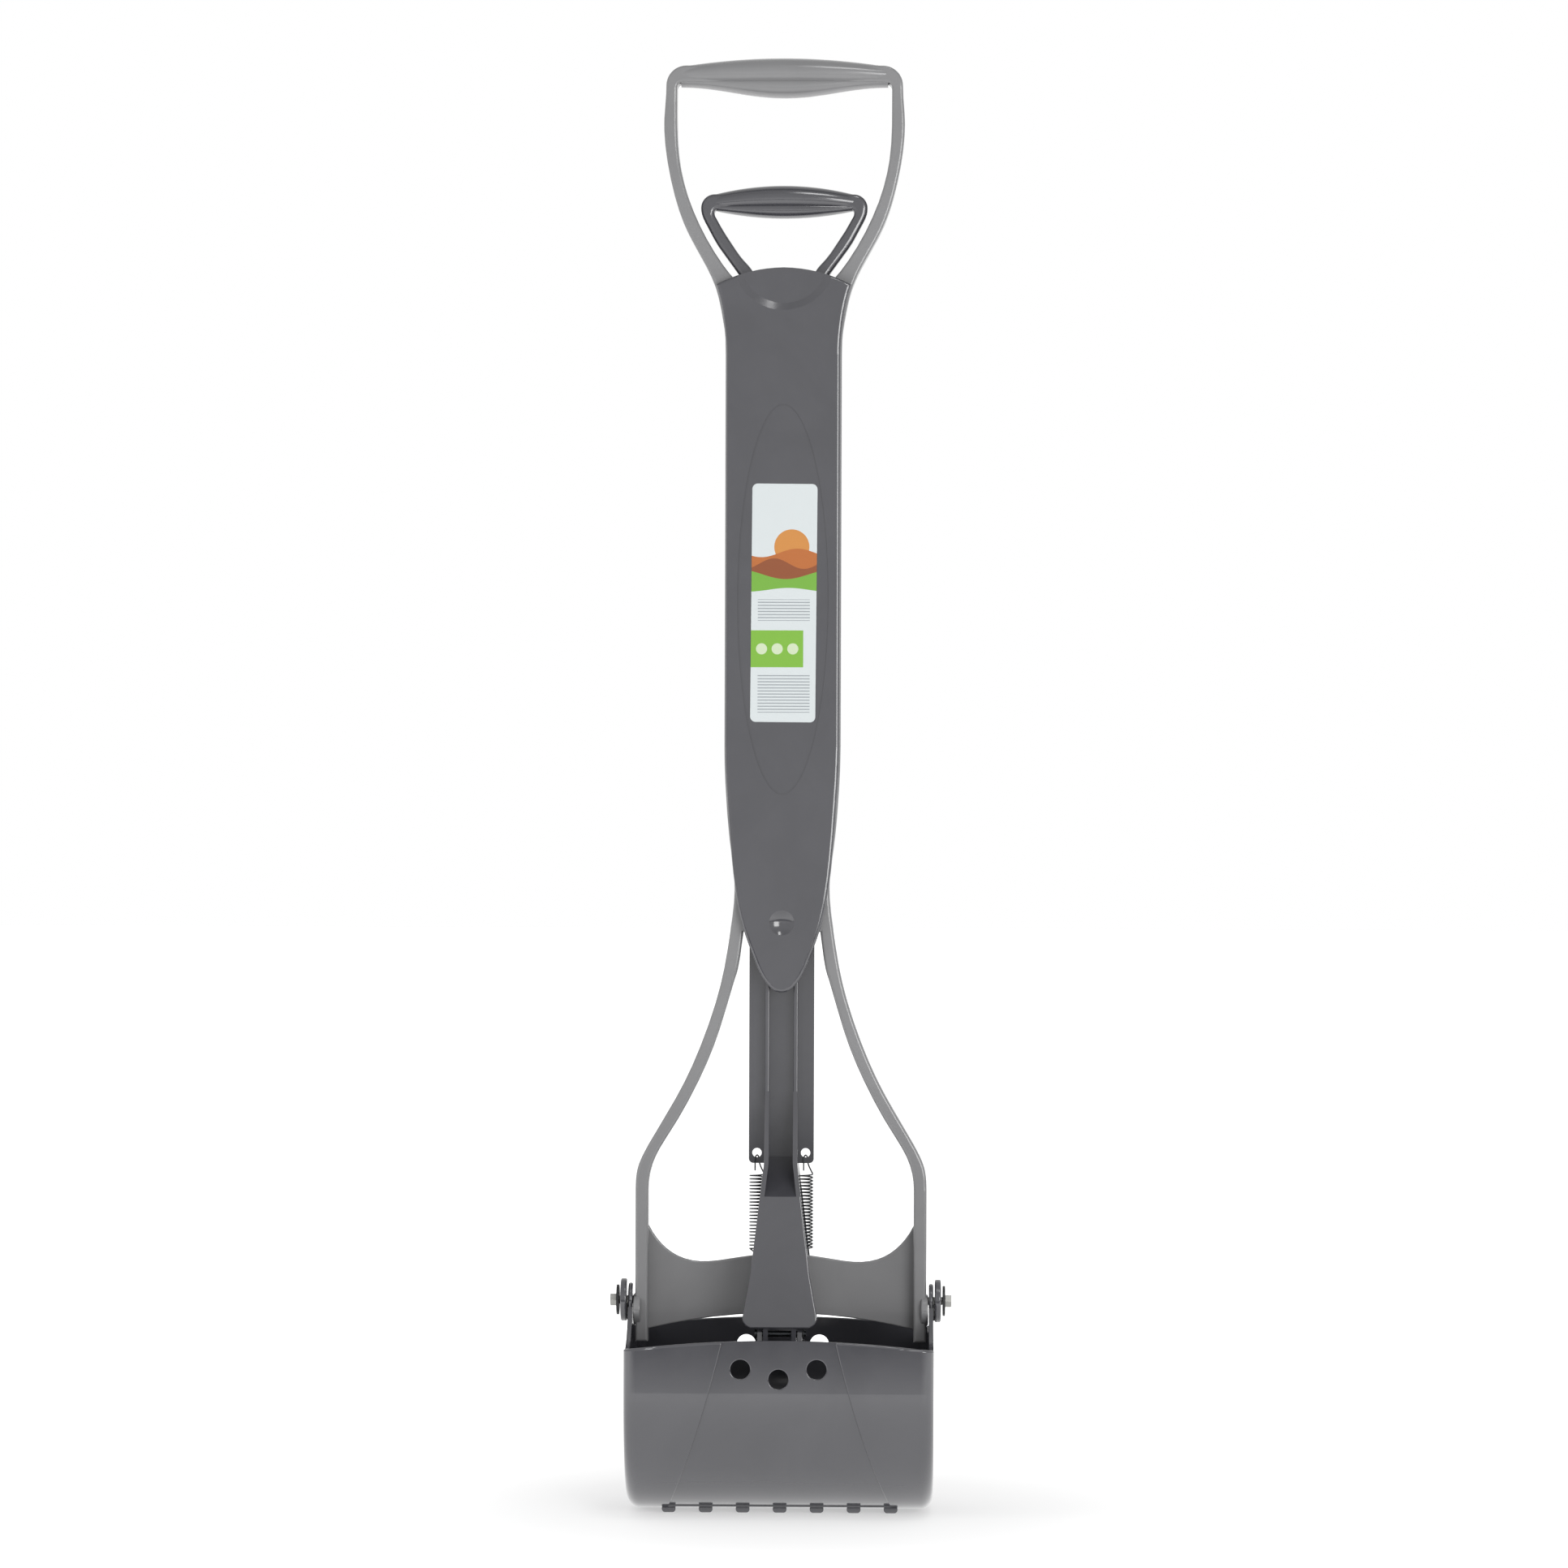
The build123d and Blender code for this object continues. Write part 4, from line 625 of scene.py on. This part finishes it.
def paper_floor():
    """A wide sheet of white studio paper that glows, which is painted light, plain white away from the scoop.
    Near it the paper shows a soft grey shadow, partly real and partly painted by a weaker glow to the camera,
    and a stronger painted glow there lights the undersides of the jaws and grips."""
    half = 12.0
    # Strengths of the paper's painted glow: near the scoop for other rays, near it to the camera as a painted
    # shadow, away from it, and far off
    painted_glow_to_scoop, painted_shadow_to_camera, plain_white, far_off = 0.95, 0.46, 1.3, 0.75
    corners = [(-half, -half, 0), (half, -half, 0), (half, half, 0), (-half, half, 0)]
    floor = meshed("paper_floor", corners, [], [(0, 1, 2, 3)])
    material, tree, shader, place = new_material("white_paper")
    shader.inputs["Base Color"].default_value = linear("#bcbcbc")
    shader.inputs["Roughness"].default_value = 0.9
    shader.inputs["Specular IOR Level"].default_value = 0.1
    away = put(tree, "ShaderNodeVectorMath", {0: place}, operation="LENGTH")
    seen = put(tree, "ShaderNodeLightPath").outputs["Is Camera Ray"]
    # Painted shadow near the scoop as the camera sees it, and a painted glow there for the light on the jaws
    painted_shadow_and_glow = put(tree, "ShaderNodeMapRange", {"Value": seen, "To Min": painted_glow_to_scoop, "To Max": painted_shadow_to_camera})
    near = put(tree, "ShaderNodeMapRange", {"Value": away.outputs["Value"], "From Min": 0.12, "From Max": 0.6,
                                            "To Min": painted_shadow_and_glow.outputs["Result"], "To Max": plain_white},
               interpolation_type="SMOOTHSTEP")
    far = put(tree, "ShaderNodeMapRange", {"Value": away.outputs["Value"], "From Min": 0.8, "From Max": 1.8,
                                           "To Min": plain_white, "To Max": far_off},
              interpolation_type="SMOOTHSTEP")
    # The paper's glow is painted light, not a lamp
    painted_glow = put(tree, "ShaderNodeMath", {0: near.outputs["Result"], 1: far.outputs["Result"]},
               operation="MINIMUM")
    shader.inputs["Emission Color"].default_value = (1, 1, 1, 1)
    tree.links.new(painted_glow.outputs[0], shader.inputs["Emission Strength"])
    floor.data.materials.append(material)


def black_card():
    """A low black card across the paper in front of the picture, seen only as a reflection in the jaws."""
    half, distance, foot, top = 3.0, 0.79, 0.001, 0.15
    corners = [(-half, -distance, foot), (half, -distance, foot),
               (half, -distance, top), (-half, -distance, top)]
    card = meshed("black_card", corners, [], [(0, 1, 2, 3)])
    material, _, shader, _ = new_material("black_cloth")
    shader.inputs["Base Color"].default_value = linear("#161616")
    shader.inputs["Roughness"].default_value = 1.0
    card.data.materials.append(material)
    card.visible_camera = False
    card.visible_diffuse = False
    card.visible_shadow = False


def softbox(name, place, aim, width, height, power, glints):
    """A soft light, whose own mirror image shows only where it is said to glint."""
    data = bpy.data.lights.new(name, "AREA")
    data.shape = "RECTANGLE"
    data.size, data.size_y, data.energy = width, height, power
    lamp = bpy.data.objects.new(name, data)
    lamp.location = place
    lamp.visible_glossy = glints
    lamp.rotation_mode = "QUATERNION"
    lamp.rotation_quaternion = (Vector(aim) - Vector(place)).to_track_quat("-Z", "Y")
    bpy.context.scene.collection.objects.link(lamp)


def product_camera():
    """A long lens, level, at half the scoop's height and a degree to its right, leaning a hair."""
    distance, turn, lean = 3.0, radians(1.0), radians(0.19)
    data = bpy.data.cameras.new("product_camera")
    data.sensor_width = 36.0
    data.lens = 124.8
    data.clip_end = 50.0
    camera = bpy.data.objects.new("product_camera", data)
    aimed = Vector((0.0008, 0.0, 0.4003))
    camera.location = aimed + distance * Vector((sin(turn), -cos(turn), 0.0))
    aim = aimed - camera.location
    camera.rotation_mode = "QUATERNION"
    camera.rotation_quaternion = aim.to_track_quat("-Z", "Y") @ Matrix.Rotation(lean, 3, "Z").to_quaternion()
    bpy.context.scene.collection.objects.link(camera)
    bpy.context.scene.camera = camera


studio_world()
paper_floor()
black_card()
softbox("key_light", (1.4, -2.35, 0.45), aim=(0, 0, 0.3), width=1.4, height=1.6, power=50, glints=True)
softbox("grip_light", (0.45, -1.25, 2.55), aim=(0, 0, 0.75), width=0.5, height=0.7, power=8, glints=True)
softbox("left_light", (-1.9, -0.9, 0.5), aim=(0, 0, 0.25), width=0.5, height=1.2, power=18, glints=False)
product_camera()
bpy.context.scene.view_settings.view_transform = "Standard"

# The dark grey's refraction is over polypropylene's 1.5, to match its stronger sheen in the photograph
light_grey = moulded_polypropylene("light_grey_moulded_polypropylene", "#656566", "#69696a",
                                   roughness=0.16, refraction=1.5)
dark_grey = moulded_polypropylene("dark_grey_moulded_polypropylene", "#323236", "#36363a",
                                  roughness=0.13, refraction=1.7)
zinc = drawn_steel("zinc_plated_steel", "#8f8f8c", roughness=0.3, scratch_pitch=0.6 * MM)
wire = drawn_steel("drawn_spring_wire", "#3a3c3e", roughness=0.26, scratch_pitch=0.3 * MM)
oxide = black_oxide_steel("black_oxide_steel")
film = printed_film("printed_polypropylene_film")

sweep = wire_tree()
for side in (-1, 1):
    return_spring(side, sweep, wire)
top_skin = grip_skin("top_grip_skin", "frame", TOP_GRIP_REACH, TOP_GRIP, light_grey)
trigger_skin = grip_skin("trigger_grip_skin", "pull_rod", TRIGGER_REACH, TRIGGER_GRIP, dark_grey)
threads = thread_tree()
for side in (-1, 1):
    pivot_bolt(side, threads, zinc)
cover_screws(seated_screws_tree(), zinc)

finishes = {"light_grey_plastic": light_grey, "dark_grey_plastic": dark_grey, "zinc_steel": zinc,
            "bright_steel": wire, "black_steel": oxide, "black_plastic": oxide, "printed_label": film}
slots = {row["node"]: row["material_slot"] for row in frame["record"]["subparts"]}
for name, node in nodes.items():
    for slot in node.material_slots:
        slot.material = finishes[slots[name]]
